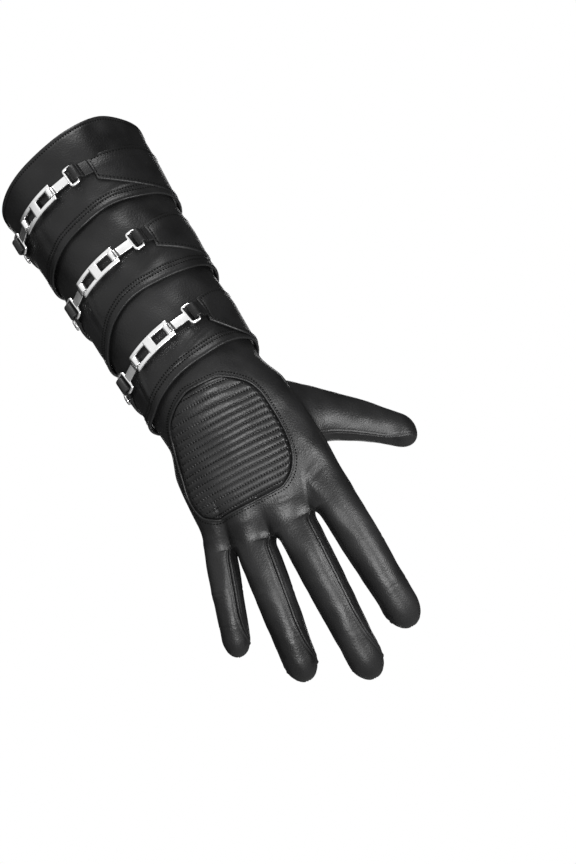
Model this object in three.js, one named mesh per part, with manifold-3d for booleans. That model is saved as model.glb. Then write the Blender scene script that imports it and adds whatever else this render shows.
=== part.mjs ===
// Long leather gauntlet glove for the right hand, in millimetres, +Z up out of the cuff's mouth.
// The origin is the centre of the mouth. The fingers point down, the back of the hand faces -Y,
// the palm faces +Y and the thumb is on the +X side.
import * as THREE from "three";
import { mergeVertices } from "three/addons/utils/BufferGeometryUtils.js";
import Module from "manifold-3d";

const wasm = await Module();
wasm.setup();

// Leather
const wall = 1.4;
const seamGap = 0.3;
const wristEase = 0.9;

// Cuff: the size over the leather at its mouth and at the wrist
const cuffLength = 158;
const mouthWidth = 94;
const mouthDepth = 88;
const wristWidth = 74;
const wristDepth = 67;
const bandOverlap = 9;
const hemPuff = 0.9;
const hemHeight = 9;

// Hand: from the wrist to the row of finger crotches
const handLength = 92.5;
const handBreadth = 89;
const handThickness = 34;
const wristFlexion = 16;
const wristBendStart = -4;
const wristBendLength = 26;
const knuckleFade = 30;

// Fingers and thumb
const middleLength = 97;
const middleWidth = 22.4;
const fingerFlatness = 0.94;
const fingerCurl = 20;
const crotchRound = 4;
const seamAngle = 62;
const thumbLength = 87;
const thumbWidth = 27;

// Quilted patch on the back of the hand
const patchLength = 66.2;
const patchStart = 7.4;
const patchSlant = 4.9;
const patchPad = 2.4;
const quiltRise = 0.9;
const quiltPitch = 3.7;
const pipingThickness = 2.2;
const patchSeat = 0.95;

// Straps and hardware
const strapWidth = 9;
const strapThickness = 2.2;
const flapThickness = 1.4;
const flapClearance = 0.3;
const flapBack = 97;
const flapFlare = 1.4;
const wireThickness = 1.7;
const pinClearance = 0.35;
const bracketArm = 6.8;
const ulnarStrapRun = 4;
const linkBarLength = 12.2;
const linkBarWidth = 5.3;
const linkBarThickness = 1.2;
const frameLinkLength = 24;
const frameLinkWidth = 10.8;
const railWidth = 2.5;
const railThickness = 1.8;
const centreBarLength = 4.8;
const chainHeight = 2.6;
const rivetWidth = 7;
const rivetHeight = 1.5;

// How the cuff narrows from the mouth to the wrist: along is a share of the cuff's length,
// width and depth are the shares of the whole narrowing.
const cuffSections = [
  { along: 0, width: 0, depth: 0 },
  { along: 0.32, width: 0.4, depth: 0.39 },
  { along: 0.67, width: 0.75, depth: 0.73 },
  { along: 1, width: 1, depth: 1 },
];

// Cuff bands from the mouth down: the name and the column of its lower edge in the table of edges
const bands = [
  { name: "cuff_band_top", edge: "top" },
  { name: "cuff_band_middle", edge: "middle" },
  { name: "cuff_band_lower", edge: "lower" },
];

// Edges of the bands at angles round the cuff, from the back of the hand towards the thumb,
// as shares of the cuff's length below the origin: the mouth and each band's lower edge.
const cuffEdges = [
  { around: -180, mouth: 0.013, top: 0.36, middle: 0.709, lower: 1.03 },
  { around: -90, mouth: 0.025, top: 0.389, middle: 0.772, lower: 1.045 },
  { around: -60, mouth: 0.021, top: 0.375, middle: 0.745, lower: 1.054 },
  { around: -35, mouth: 0.016, top: 0.357, middle: 0.704, lower: 1.035 },
  { around: -10, mouth: 0.008, top: 0.346, middle: 0.679, lower: 1.016 },
  { around: 15, mouth: -0.009, top: 0.334, middle: 0.677, lower: 1.005 },
  { around: 40, mouth: -0.022, top: 0.34, middle: 0.671, lower: 0.988 },
  { around: 65, mouth: -0.003, top: 0.338, middle: 0.657, lower: 0.978 },
  { around: 90, mouth: 0.002, top: 0.339, middle: 0.652, lower: 0.974 },
  { around: 180, mouth: 0.013, top: 0.36, middle: 0.709, lower: 1.03 },
];

// Hand sections: along is a share of the hand's length, ulnar and radial are shares of its breadth,
// back and palm are shares of its thickness. The wrist's own section follows the cuff.
const handSections = [
  { along: 0.22, ulnar: 0.385, radial: 0.44, back: 0.74, palm: 0.76 },
  { along: 0.42, ulnar: 0.45, radial: 0.455, back: 0.62, palm: 0.66 },
  { along: 0.7, ulnar: 0.49, radial: 0.458, back: 0.52, palm: 0.5 },
  { along: 1, ulnar: 0.56, radial: 0.43, back: 0.4, palm: 0.38 },
];

// Fingers, from the little finger to the index: across and rise place the base as shares of the hand's
// breadth and thickness, along of its length, splay is in degrees towards the little finger,
// length and width are shares of the middle finger's.
const fingers = [
  { name: "little", across: -0.475, along: 0.93, rise: -0.13, splay: 22, length: 0.575, width: 0.78 },
  { name: "ring", across: -0.25, along: 0.98, rise: 0, splay: 11.5, length: 0.828, width: 0.96 },
  { name: "middle", across: 0.028, along: 1, rise: 0.05, splay: 5, length: 0.99, width: 1 },
  { name: "index", across: 0.315, along: 1, rise: 0, splay: 1, length: 0.85, width: 1.03 },
];

// Crotches between the fingers, in shares of the hand's breadth and length
const crotches = [
  { name: "fourchette_ring_little", across: -0.381, along: 0.93 },
  { name: "fourchette_middle_ring", across: -0.138, along: 1 },
  { name: "fourchette_index_middle", across: 0.205, along: 1 },
];

// Thumb sections: along is a share of the thumb's length from its root inside the hand,
// width and depth are shares of its width.
const thumbSections = [
  { along: 0, width: 1.5, depth: 0.98 },
  { along: 0.3, width: 1.2, depth: 0.94 },
  { along: 0.55, width: 0.92, depth: 0.82 },
  { along: 0.8, width: 0.72, depth: 0.68 },
  { along: 1, width: 0.66, depth: 0.6 },
];
const thumbRoot = { across: 0.22, along: 0.33, rise: -0.36 };
const thumbDirection = { across: 0.765, along: 0.628, rise: -0.175 };
const thumbBow = { across: 0.03, along: -0.04, rise: -0.02 };

// Patch outline: along is a share of the patch's length, ulnar and radial are shares of the hand's breadth.
const patchOutline = [
  { along: 0, ulnar: -0.11, radial: 0.12 },
  { along: 0.05, ulnar: -0.215, radial: 0.2 },
  { along: 0.13, ulnar: -0.305, radial: 0.268 },
  { along: 0.3, ulnar: -0.36, radial: 0.292 },
  { along: 0.55, ulnar: -0.415, radial: 0.288 },
  { along: 0.76, ulnar: -0.45, radial: 0.258 },
  { along: 0.93, ulnar: -0.435, radial: 0.19 },
  { along: 1, ulnar: -0.37, radial: 0.12 },
];

// Chains: at is the angle of the first bracket round the cuff, from the back of the hand towards the
// thumb, along the share of the cuff's length, and slope the drop towards the little finger for each
// millimetre. The flap that carries it ends flapRun millimetres before the bracket; top and bottom are
// the shares of the cuff's length of its edges there, sideTop and sideBottom at the cuff's side.
const chains = [
  {
    at: -3, along: 0.171, slope: 0.05, flapRun: 14.1,
    top: 0.13, bottom: 0.221, sideTop: 0.12, sideBottom: 0.316,
  },
  {
    at: 11.7, along: 0.505, slope: 0.1, flapRun: 11.5,
    top: 0.456, bottom: 0.55, sideTop: 0.411, sideBottom: 0.595,
  },
  {
    at: 19, along: 0.849, slope: 0.13, flapRun: 10.9,
    top: 0.789, bottom: 0.887, sideTop: 0.747, sideBottom: 0.965,
  },
];

// Mesh fineness
const aroundCuff = 30;
const alongFinger = 8;
const alongHand = 10;
const acrossStrip = 4;
const acrossSide = 2;
const acrossPatch = 6;
const wireSides = 6;
const thumbSides = 14;
const rivetSides = 10;

const rad = THREE.MathUtils.degToRad;
const mix = THREE.MathUtils.lerp;
const clamp = THREE.MathUtils.clamp;
const smooth = (value) => THREE.MathUtils.smoothstep(value, 0, 1);
const vector = (x, y, z) => new THREE.Vector3(x, y, z);

/** Reads a column of a table at a place along it, on a smooth curve through the rows. */
function readTable(table, column, at, key = "along") {
  const last = table.length - 1;
  if (at <= table[0][key]) return table[0][column];
  if (at >= table[last][key]) return table[last][column];
  const next = table.findIndex((row) => row[key] > at);
  const rise = (i) => table[i + 1][column] - table[i][column];
  const slope = (i) => {
    const low = Math.max(i - 1, 0);
    const high = Math.min(i + 1, last);
    if (i > 0 && i < last && rise(low) * rise(i) <= 0) return 0;
    return (table[high][column] - table[low][column]) / (table[high][key] - table[low][key]);
  };
  const from = table[next - 1];
  const to = table[next];
  const span = to[key] - from[key];
  const t = (at - from[key]) / span;
  const bendFrom = slope(next - 1) * span;
  const bendTo = slope(next) * span;
  const cubic = 2 * (from[column] - to[column]) + bendFrom + bendTo;
  const square = 3 * (to[column] - from[column]) - 2 * bendFrom - bendTo;
  return ((cubic * t + square) * t + bendFrom) * t + from[column];
}

/** Point and outward normal on the cuff's outer leather, raised by some millimetres. */
function cuffSurface(angle, z, raise) {
  const along = -z / cuffLength;
  const halfWidth = mix(mouthWidth, wristWidth, readTable(cuffSections, "width", along)) / 2;
  const halfDepth = mix(mouthDepth, wristDepth, readTable(cuffSections, "depth", along)) / 2;
  const sine = Math.sin(angle);
  const cosine = Math.cos(angle);
  const normal = vector(sine / halfWidth, -cosine / halfDepth, 0).normalize();
  const point = vector(halfWidth * sine, -halfDepth * cosine, z).addScaledVector(normal, raise);
  return { point, normal };
}

/** Height of one of the cuff's edges at an angle round it. */
function edgeHeight(edge, angle) {
  const around = THREE.MathUtils.radToDeg(Math.atan2(Math.sin(angle), Math.cos(angle)));
  return -cuffLength * readTable(cuffEdges, edge, around, "around");
}

/** Height of a band's lower edge at an angle round the cuff. */
function lowerEdge(band, angle) {
  return edgeHeight(band.edge, angle);
}

/** Height of a band's upper edge: the mouth, or tucked under the band above it. */
function upperEdge(index, angle) {
  return index === 0 ? edgeHeight("mouth", angle) : lowerEdge(bands[index - 1], angle) + bandOverlap;
}

/** How far a band's outer face stands off the cuff's outline: tucked in at its top, puffed at its hem. */
function bandRaise(index, angle, z) {
  const hem = smooth(1 - (z - lowerEdge(bands[index], angle)) / hemHeight) * hemPuff;
  if (index === 0) return hem;
  const below = lowerEdge(bands[index - 1], angle) - z;
  const fade = 0.5 * (lowerEdge(bands[index - 1], angle) - lowerEdge(bands[index], angle));
  return hem - (wall + seamGap) * (1 - smooth(below / fade));
}

/** Point and normal on the outer face of whichever band shows at a height. */
function bandSurface(angle, z, raise) {
  const index = bands.findIndex((band) => z >= lowerEdge(band, angle));
  const shown = index < 0 ? bands.length - 1 : index;
  return cuffSurface(angle, z, bandRaise(shown, angle, z) + raise);
}

/** The hand's centre line: down the cuff's axis, then bent towards the palm. */
function handFrame(s) {
  const radius = wristBendLength / rad(wristFlexion);
  const turn = rad(wristFlexion) * clamp((s - wristBendStart) / wristBendLength, 0, 1);
  const straight = Math.min(s, wristBendStart);
  const after = Math.max(0, s - wristBendStart - wristBendLength);
  const distal = vector(0, Math.sin(turn), -Math.cos(turn));
  const back = vector(0, -Math.cos(turn), -Math.sin(turn));
  const origin = vector(0, radius * (1 - Math.cos(turn)), -cuffLength - straight - radius * Math.sin(turn));
  origin.addScaledVector(distal, after);
  return { origin, distal, back };
}

/** A point from its place across, along and above the hand's centre line. */
function handPlace(across, s, rise) {
  const { origin, back } = handFrame(s);
  return origin.clone().add(vector(across, 0, 0)).addScaledVector(back, rise);
}

const wristHalfWidth = wristWidth / 2 - wall - wristEase;
const wristHalfDepth = wristDepth / 2 - wall - wristEase;
const wristSection = {
  ulnar: wristHalfWidth, radial: wristHalfWidth, back: wristHalfDepth, palm: wristHalfDepth,
};
const handTable = [
  { along: -0.11, ...wristSection },
  { along: 0.03, ...wristSection },
  ...handSections.map((row) => ({
    along: row.along,
    ulnar: row.ulnar * handBreadth,
    radial: row.radial * handBreadth,
    back: row.back * handThickness,
    palm: row.palm * handThickness,
  })),
];

/** Half width and middle of the hand's section at a place along it. */
function handWidth(s) {
  const ulnar = readTable(handTable, "ulnar", s / handLength);
  const radial = readTable(handTable, "radial", s / handLength);
  return { half: (ulnar + radial) / 2, middle: (radial - ulnar) / 2 };
}

/** Point and normal of the plain hand: side 1 is the back and -1 the palm, angle runs from -90 to 90. */
function plainHand(s, angle, side) {
  const { half, middle } = handWidth(s);
  const height = readTable(handTable, side > 0 ? "back" : "palm", s / handLength);
  const fullness = mix(1, 0.78, smooth(s / handLength / 0.35));
  const rise = side * height * Math.cos(angle) ** fullness;
  const { back } = handFrame(s);
  const normal = vector(Math.sin(angle) / half, 0, 0).addScaledVector(back, (side * Math.cos(angle)) / height);
  return { point: handPlace(middle + half * Math.sin(angle), s, rise), normal: normal.normalize() };
}

/** Straight and turned axes of each finger, worked out once from the table. */
const fingerTubes = fingers.map((row) => {
  const s = row.along * handLength;
  const { distal, back } = handFrame(s);
  const splay = rad(row.splay);
  const across = vector(Math.cos(splay), 0, 0).addScaledVector(distal, Math.sin(splay));
  const forward = vector(-Math.sin(splay), 0, 0).addScaledVector(distal, Math.cos(splay));
  return {
    base: handPlace(row.across * handBreadth, s, row.rise * handThickness),
    across,
    forward,
    back,
    length: row.length * middleLength,
    width: row.width * middleWidth,
  };
});

/** Point and normal on a finger's tube: u runs from its base to its tip, angle from the back. */
function fingerTube(tube, u, angle) {
  const bend = rad(fingerCurl) / tube.length;
  const turn = bend * Math.max(0, u);
  const forwardRun = u > 0 ? Math.sin(turn) / bend : u;
  const palmRun = (1 - Math.cos(turn)) / bend;
  const capLength = 0.62 * tube.width;
  const intoCap = clamp((u - tube.length + capLength) / capLength, 0, 1);
  const cap = Math.sqrt(1 - intoCap * intoCap);
  const taper = 1 - 0.15 * smooth((u / tube.length - 0.1) / 0.9);
  const halfWidth = (tube.width / 2) * taper * cap;
  const halfDepth = halfWidth * fingerFlatness;
  const raised = tube.back.clone().multiplyScalar(Math.cos(turn)).addScaledVector(tube.forward, Math.sin(turn));
  const point = tube.base.clone().addScaledVector(tube.forward, forwardRun).addScaledVector(tube.back, -palmRun);
  point.addScaledVector(tube.across, halfWidth * Math.sin(angle));
  point.addScaledVector(raised, halfDepth * Math.cos(angle));
  const ahead = tube.forward.clone().multiplyScalar(Math.cos(turn)).addScaledVector(tube.back, -Math.sin(turn));
  const normal = tube.across.clone().multiplyScalar(Math.sin(angle) * fingerFlatness);
  normal.addScaledVector(raised, Math.cos(angle)).normalize().multiplyScalar(cap);
  normal.addScaledVector(ahead, intoCap).normalize();
  return { point, normal, ahead };
}

/** Angle of the seam between the back and a fourchette, which closes round the finger's tip. */
function seamAt(share) {
  return rad(mix(seamAngle, 90, smooth((share - 0.72) / 0.26)));
}

// Angles of the crotch lines round the plain hand, with the outer seams at both ends
const crotchRow = handWidth(handLength);
const stripEdges = [
  -Math.PI / 2,
  ...crotches.map((row) => Math.asin((row.across * handBreadth - crotchRow.middle) / crotchRow.half)),
  Math.PI / 2,
];

// Where each finger's left and right edge begins: along the hand, and along the finger itself
const stripStarts = fingers.map((row, f) => {
  const tube = fingerTubes[f];
  const at = (k) => {
    const crotch = crotches[k];
    if (!crotch) return { s: row.along * handLength, u: 0 };
    const s = crotch.along * handLength;
    const place = handPlace(crotch.across * handBreadth, s, row.rise * handThickness);
    return { s, u: place.sub(tube.base).dot(tube.forward) };
  };
  return { left: at(f - 1), right: at(f) };
});

/** One finger's strip before its edges are drawn together: step 0 to 1 is the hand, 1 to 2 the finger. */
function rawStrip(f, side, step, share) {
  const { left, right } = stripStarts[f];
  const startS = mix(left.s, right.s, share);
  const startU = mix(left.u, right.u, share);
  const onFinger = clamp(step - 1, 0, 1);
  const u = step < 1 ? startU - (1 - step) * startS : mix(startU, fingerTubes[f].length, onFinger);
  const seam = seamAt(onFinger);
  const low = f === 0 ? -Math.PI / 2 : -seam;
  const high = f === fingers.length - 1 ? Math.PI / 2 : seam;
  const turned = mix(low, high, share);
  const tube = fingerTube(fingerTubes[f], u, side > 0 ? turned : Math.PI - turned);
  if (step >= 1) return { ...tube, turned };
  const s = step * startS;
  const hand = plainHand(s, mix(stripEdges[f], stripEdges[f + 1], share), side);
  const knuckle = smooth(1 - (startS - s) / knuckleFade);
  return {
    point: hand.point.lerp(tube.point, knuckle),
    normal: hand.normal.lerp(tube.normal, knuckle).normalize(),
    turned,
  };
}

/** Where two neighbouring strips meet at the crotch line between them. */
function sharedEdge(k, side, step) {
  const left = rawStrip(k, side, step, 1).point;
  const right = rawStrip(k + 1, side, step, 0).point;
  return left.lerp(right, 0.5);
}

/** How far open the slit is at a step: 0 at the crotch, 1 where it has its full width. */
function slitOpen(f, step) {
  if (step <= 1) return 0;
  const run = Math.min(1, ((step - 1) * fingerTubes[f].length) / crotchRound);
  return Math.sqrt(1 - (1 - run) ** 2);
}

/** Point and normal on the leather of one finger's back or palm strip. */
function strip(f, side, step, share) {
  const raw = rawStrip(f, side, step, share);
  const closed = 1 - slitOpen(f, step);
  const draw = raw.point.clone();
  if (f < fingers.length - 1) {
    const pull = sharedEdge(f, side, step).sub(rawStrip(f, side, step, 1).point);
    draw.addScaledVector(pull, closed * share ** 2);
  }
  if (f > 0) {
    const pull = sharedEdge(f - 1, side, step).sub(rawStrip(f, side, step, 0).point);
    draw.addScaledVector(pull, closed * (1 - share) ** 2);
  }
  const up = handFrame(handLength).back.clone().multiplyScalar(side);
  const inner = (f > 0 ? (1 - share) ** 2 : 0) + (f < fingers.length - 1 ? share ** 2 : 0);
  const level = closed * inner * (step < 1 ? smooth(1 - (1 - step) * handLength / knuckleFade) : 1);
  return { point: draw, normal: raw.normal.clone().lerp(up, 0.8 * level).normalize() };
}

/** Steps along a strip: the hand, the round of the crotch, the finger and its round tip. */
function stripSteps(f) {
  const { length, width } = fingerTubes[f];
  const hand = Array.from({ length: alongHand }, (_, i) => 1 - (1 - i / alongHand) ** 1.35 * (1 + 0.1));
  const roundEnd = crotchRound / length;
  const crotch = [0, 0.13, 0.5, 1].map((share) => 1 + roundEnd * share);
  const tipStart = 1 - (0.62 * width) / length;
  const inner = alongFinger - 1;
  const along = Array.from({ length: inner }, (_, i) => mix(roundEnd, tipStart, (i + 1) / inner));
  const tip = [0.45, 0.78, 0.95, 1].map((share) => mix(tipStart, 1, share));
  return [...hand, ...crotch, ...along.map((v) => 1 + v), ...tip.map((v) => 1 + v)];
}

/** Collects grids of leather and gives them a wall, with a rim round every open edge. */
class Sheet {
  constructor() {
    this.vertices = [];
    this.triangles = [];
    this.known = new Map();
  }

  vertex({ point, normal }) {
    const key = point.toArray().map((v) => Math.round(v * 2000)).join();
    if (!this.known.has(key)) {
      this.known.set(key, this.vertices.length);
      this.vertices.push({ point: point.clone(), normal: vector(0, 0, 0) });
    }
    const index = this.known.get(key);
    this.vertices[index].normal.add(normal);
    return index;
  }

  triangle(a, b, c) {
    if (a === b || b === c || a === c) return;
    const [p, q, r] = [a, b, c].map((i) => this.vertices[i].point);
    const face = q.clone().sub(p).cross(r.clone().sub(p));
    const outward = [a, b, c].reduce((sum, i) => sum + this.vertices[i].normal.dot(face), 0);
    this.triangles.push(outward >= 0 ? [a, b, c] : [a, c, b]);
  }

  grid(rows, columns, at) {
    const index = rows.map((row) => columns.map((column) => this.vertex(at(row, column))));
    for (let i = 0; i < rows.length - 1; i++) {
      for (let j = 0; j < columns.length - 1; j++) {
        this.triangle(index[i][j], index[i + 1][j], index[i + 1][j + 1]);
        this.triangle(index[i][j], index[i + 1][j + 1], index[i][j + 1]);
      }
    }
    return this;
  }

  solid(thickness) {
    const count = this.vertices.length;
    const inside = this.vertices.map(({ point, normal }) =>
      point.clone().addScaledVector(normal.clone().normalize(), -thickness));
    const positions = [...this.vertices.map((v) => v.point), ...inside].flatMap((p) => p.toArray());
    const edges = new Map();
    const index = [];
    for (const [a, b, c] of this.triangles) {
      index.push(a, b, c, a + count, c + count, b + count);
      for (const [from, to] of [[a, b], [b, c], [c, a]]) edges.set(`${from},${to}`, [from, to]);
    }
    for (const [from, to] of edges.values()) {
      if (edges.has(`${to},${from}`)) continue;
      index.push(from, from + count, to, to, from + count, to + count);
    }
    return indexed(positions, index);
  }
}

function indexed(positions, index) {
  const geometry = new THREE.BufferGeometry();
  geometry.setAttribute("position", new THREE.Float32BufferAttribute(positions, 3));
  geometry.setIndex(index);
  return geometry;
}

/** A closed body through rings of points, joined end to start or capped at both ends. */
function loft(rings, joined) {
  const sides = rings[0].length;
  const positions = rings.flat().flatMap((p) => p.toArray());
  const index = [];
  const steps = joined ? rings.length : rings.length - 1;
  for (let i = 0; i < steps; i++) {
    const here = i * sides;
    const next = ((i + 1) % rings.length) * sides;
    for (let j = 0; j < sides; j++) {
      const side = (j + 1) % sides;
      index.push(here + j, next + j, next + side, here + j, next + side, here + side);
    }
  }
  if (!joined) {
    const end = (rings.length - 1) * sides;
    for (let j = 1; j < sides - 1; j++) {
      index.push(0, j, j + 1, end, end + j + 1, end + j);
    }
  }
  return outward(indexed(positions, index));
}

/** Turns a closed body's faces outwards. */
function outward(geometry) {
  const p = geometry.attributes.position;
  const index = geometry.index.array;
  let volume = 0;
  const corner = [0, 1, 2].map(() => vector(0, 0, 0));
  for (let i = 0; i < index.length; i += 3) {
    corner.forEach((c, k) => c.fromBufferAttribute(p, index[i + k]));
    volume += corner[0].dot(corner[1].clone().cross(corner[2]));
  }
  if (volume > 0) return geometry;
  for (let i = 0; i < index.length; i += 3) [index[i], index[i + 1]] = [index[i + 1], index[i]];
  return geometry;
}

function toSolid(geometry) {
  const bare = geometry.clone();
  bare.deleteAttribute("normal");
  bare.deleteAttribute("uv");
  const merged = mergeVertices(bare, 1e-4);
  const vertProperties = new Float32Array(merged.attributes.position.array);
  const triVerts = new Uint32Array(merged.index.array);
  return new wasm.Manifold(new wasm.Mesh({ numProp: 3, vertProperties, triVerts }));
}

function fromSolid(solid) {
  const mesh = solid.getMesh();
  return indexed(Array.from(mesh.vertProperties), Array.from(mesh.triVerts));
}

const glove = new THREE.Group();

const leatherFinish = () => new THREE.MeshStandardMaterial({ color: 0x18181a, roughness: 0.42, metalness: 0 });
const metalFinish = () => new THREE.MeshStandardMaterial({ color: 0xd9dadb, roughness: 0.18, metalness: 1 });

function add(name, geometry, material) {
  const mesh = new THREE.Mesh(geometry, material);
  mesh.name = name;
  glove.add(mesh);
}

/** A cuff band: a tapered ring of leather, its hem thicker than its wall. */
function cuffBand(index) {
  const shares = [0, 0.3, 0.6, 0.85, 1];
  const rings = Array.from({ length: aroundCuff }, (_, i) => {
    const angle = (i / aroundCuff) * 2 * Math.PI;
    const top = upperEdge(index, angle);
    const bottom = lowerEdge(bands[index], angle);
    const heights = shares.map((share) => mix(top, bottom, share));
    const outer = heights.map((z) => cuffSurface(angle, z, bandRaise(index, angle, z)).point);
    const tuck = (z) => Math.min(0, bandRaise(index, angle, z));
    const inner = heights.map((z) => cuffSurface(angle, z, tuck(z) - wall).point).reverse();
    return [...outer, ...inner];
  });
  return loft(rings, true);
}

/** The back or the palm of the glove with its four finger strips; both stand half a seam gap apart. */
function handPanel(side, growth, thickness) {
  const sheet = new Sheet();
  const shift = handFrame(handLength).back.clone().multiplyScalar((side * seamGap) / 2);
  const trim = 0.02;
  fingers.forEach((row, f) => {
    const shares = Array.from({ length: acrossStrip + 1 }, (_, i) => i / acrossStrip);
    sheet.grid(stripSteps(f), shares, (step, share) => {
      const inward = step > 1 ? mix(trim, 1 - trim, share) : share;
      const { point, normal } = strip(f, side, step, step > 1 ? mix(share, inward, slitOpen(f, step)) : share);
      return { point: point.add(shift).addScaledVector(normal, growth), normal };
    });
  });
  return sheet.solid(thickness);
}

/** A finger's side wall in a fourchette: height 0 is at the back's seam and 1 at the palm's. */
function sideWall(f, k, step, height) {
  const tube = fingerTubes[f];
  const towards = f === k ? 1 : -1;
  const start = f === k ? stripStarts[f].right.u : stripStarts[f].left.u;
  const u = mix(start, tube.length, step - 1);
  const seam = seamAt(step - 1);
  const tubeAt = fingerTube(tube, u, towards * mix(seam, Math.PI - seam, height));
  return { ...tubeAt, ahead: tubeAt.ahead };
}

/** The strip of leather between two fingers: up one side, round the crotch and down the other. */
function fourchette(k) {
  const sheet = new Sheet();
  const heights = Array.from({ length: acrossSide + 1 }, (_, i) => i / acrossSide);
  for (const f of [k, k + 1]) {
    const steps = stripSteps(f).filter((step) => step >= 1 && step < 1.93);
    sheet.grid(steps, heights, (step, height) => {
      const open = slitOpen(f, step);
      const seam = seamAt(step - 1);
      const run = ((fingerTubes[k].width + fingerTubes[k + 1].width) / 4) * (Math.PI - 2 * seam);
      const margin = Math.min(0.4, (2 * seamGap + (wall + 3 * seamGap) * (1 - open)) / run);
      const level = mix(margin, 1 - margin, height);
      const own = sideWall(f, k, step, level);
      const other = sideWall(f === k ? k + 1 : k, k, step, level);
      const shared = own.point.clone().lerp(other.point, 0.5);
      const normal = own.normal.clone().multiplyScalar(open).addScaledVector(own.ahead, 1 - open);
      return { point: own.point.lerp(shared, 1 - open), normal: normal.normalize() };
    });
  }
  return sheet.solid(wall);
}

/** The plain outside of the whole hand as a closed body, a little larger than the leather. */
function handBody(growth) {
  const steps = stripSteps(0).filter((step) => step <= 1);
  const rings = steps.map((step) => {
    const ring = [];
    for (const side of [1, -1]) {
      const half = [];
      fingers.forEach((row, f) => {
        for (let i = f === 0 ? 0 : 1; i <= acrossStrip; i++) {
          const { point, normal } = strip(f, side, step, i / acrossStrip);
          half.push(point.addScaledVector(normal, growth));
        }
      });
      ring.push(...(side > 0 ? half : half.reverse().slice(1, -1)));
    }
    return ring;
  });
  return toSolid(loft(rings, false));
}

/** The thumb as a closed body: a bowed tube with a round tip, thinner by inset all round. */
function thumbBody(inset) {
  const { distal, back } = handFrame(handLength);
  const direction = vector(thumbDirection.across, 0, 0).addScaledVector(distal, thumbDirection.along);
  direction.addScaledVector(back, thumbDirection.rise).normalize();
  const { across, along, rise } = thumbRoot;
  const root = handPlace(across * handBreadth, along * handLength, rise * handThickness);
  const side = distal.clone().addScaledVector(direction, -distal.dot(direction)).normalize();
  const upward = side.clone().cross(direction).normalize();
  const capShare = (0.42 * thumbWidth) / thumbLength;
  const shares = [0, 0.14, 0.28, 0.42, 0.56, 0.7, 1 - capShare];
  const roundTip = [0.4, 0.72, 0.92, 0.995].map((share) => mix(1 - capShare, 1, share));
  const rings = [...shares, ...roundTip].map((share) => {
    const intoCap = clamp((share - 1 + capShare) / capShare, 0, 1);
    const cap = Math.sqrt(1 - intoCap ** 2);
    const bow = 4 * share * (1 - share) * thumbLength;
    const centre = root.clone().addScaledVector(direction, share * (thumbLength - inset));
    centre.add(vector(thumbBow.across * bow, 0, 0)).addScaledVector(distal, thumbBow.along * bow);
    centre.addScaledVector(back, thumbBow.rise * bow);
    const halfWidth = (readTable(thumbSections, "width", share) * thumbWidth / 2 - inset) * cap;
    const halfDepth = (readTable(thumbSections, "depth", share) * thumbWidth / 2 - inset) * cap;
    return Array.from({ length: thumbSides }, (_, i) => {
      const angle = (i / thumbSides) * 2 * Math.PI;
      return centre.clone().addScaledVector(side, halfWidth * Math.sin(angle))
        .addScaledVector(upward, halfDepth * Math.cos(angle));
    });
  });
  return toSolid(loft(rings, false));
}

/** Point and normal on the back of the glove at a place along and across it. */
function backSurface(s, across, raise) {
  const { half, middle } = handWidth(s);
  const angle = Math.asin(clamp((across - middle) / half, -1, 1));
  const f = clamp(stripEdges.findIndex((edge) => edge > angle) - 1, 0, fingers.length - 1);
  const share = (angle - stripEdges[f]) / (stripEdges[f + 1] - stripEdges[f]);
  const startS = mix(stripStarts[f].left.s, stripStarts[f].right.s, share);
  const { point, normal } = strip(f, 1, s / startS, share);
  return { point: point.addScaledVector(normal, raise), normal };
}

/** Place on the patch's outline at a share of its length, drawn in by some millimetres. */
function patchEdge(share, edge, inset) {
  const drawnIn = edge === "ulnar" ? inset : -inset;
  const across = readTable(patchOutline, edge, share) * handBreadth + drawnIn;
  return { run: patchStart + mix(inset, patchLength - inset, share), across };
}

/** Point and normal on the patch, whose rows slant a little across the hand. */
function patchSurface({ run, across }, raise) {
  return backSurface(run + Math.tan(rad(patchSlant)) * across, across, raise);
}

/** Places from one edge of the patch to the other, spread evenly round the curve of the hand. */
function patchBetween(left, right, share) {
  const { half, middle } = handWidth(left.run);
  const turn = (edge) => Math.asin(clamp((edge.across - middle) / half, -1, 1));
  const across = middle + half * Math.sin(mix(turn(left), turn(right), share));
  return { run: mix(left.run, right.run, share), across };
}

/** The padded patch: a cushion of leather with one rounded rib for each row of quilting. */
function quiltedPatch() {
  const sheet = new Sheet();
  const ribs = Math.round(patchLength / quiltPitch);
  const inset = pipingThickness + 2 * seamGap;
  const rows = Array.from({ length: 2 * ribs + 1 }, (_, i) => i);
  const columns = Array.from({ length: acrossPatch + 1 }, (_, i) => i / acrossPatch);
  sheet.grid(rows, columns, (row, column) => {
    const share = row / (2 * ribs);
    const left = patchEdge(share, "ulnar", inset);
    const right = patchEdge(share, "radial", inset);
    const crest = row % 2 === 1 ? quiltRise : 0;
    return patchSurface(patchBetween(left, right, column), patchSeat + patchPad + crest);
  });
  return sheet.solid(patchPad);
}

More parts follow.
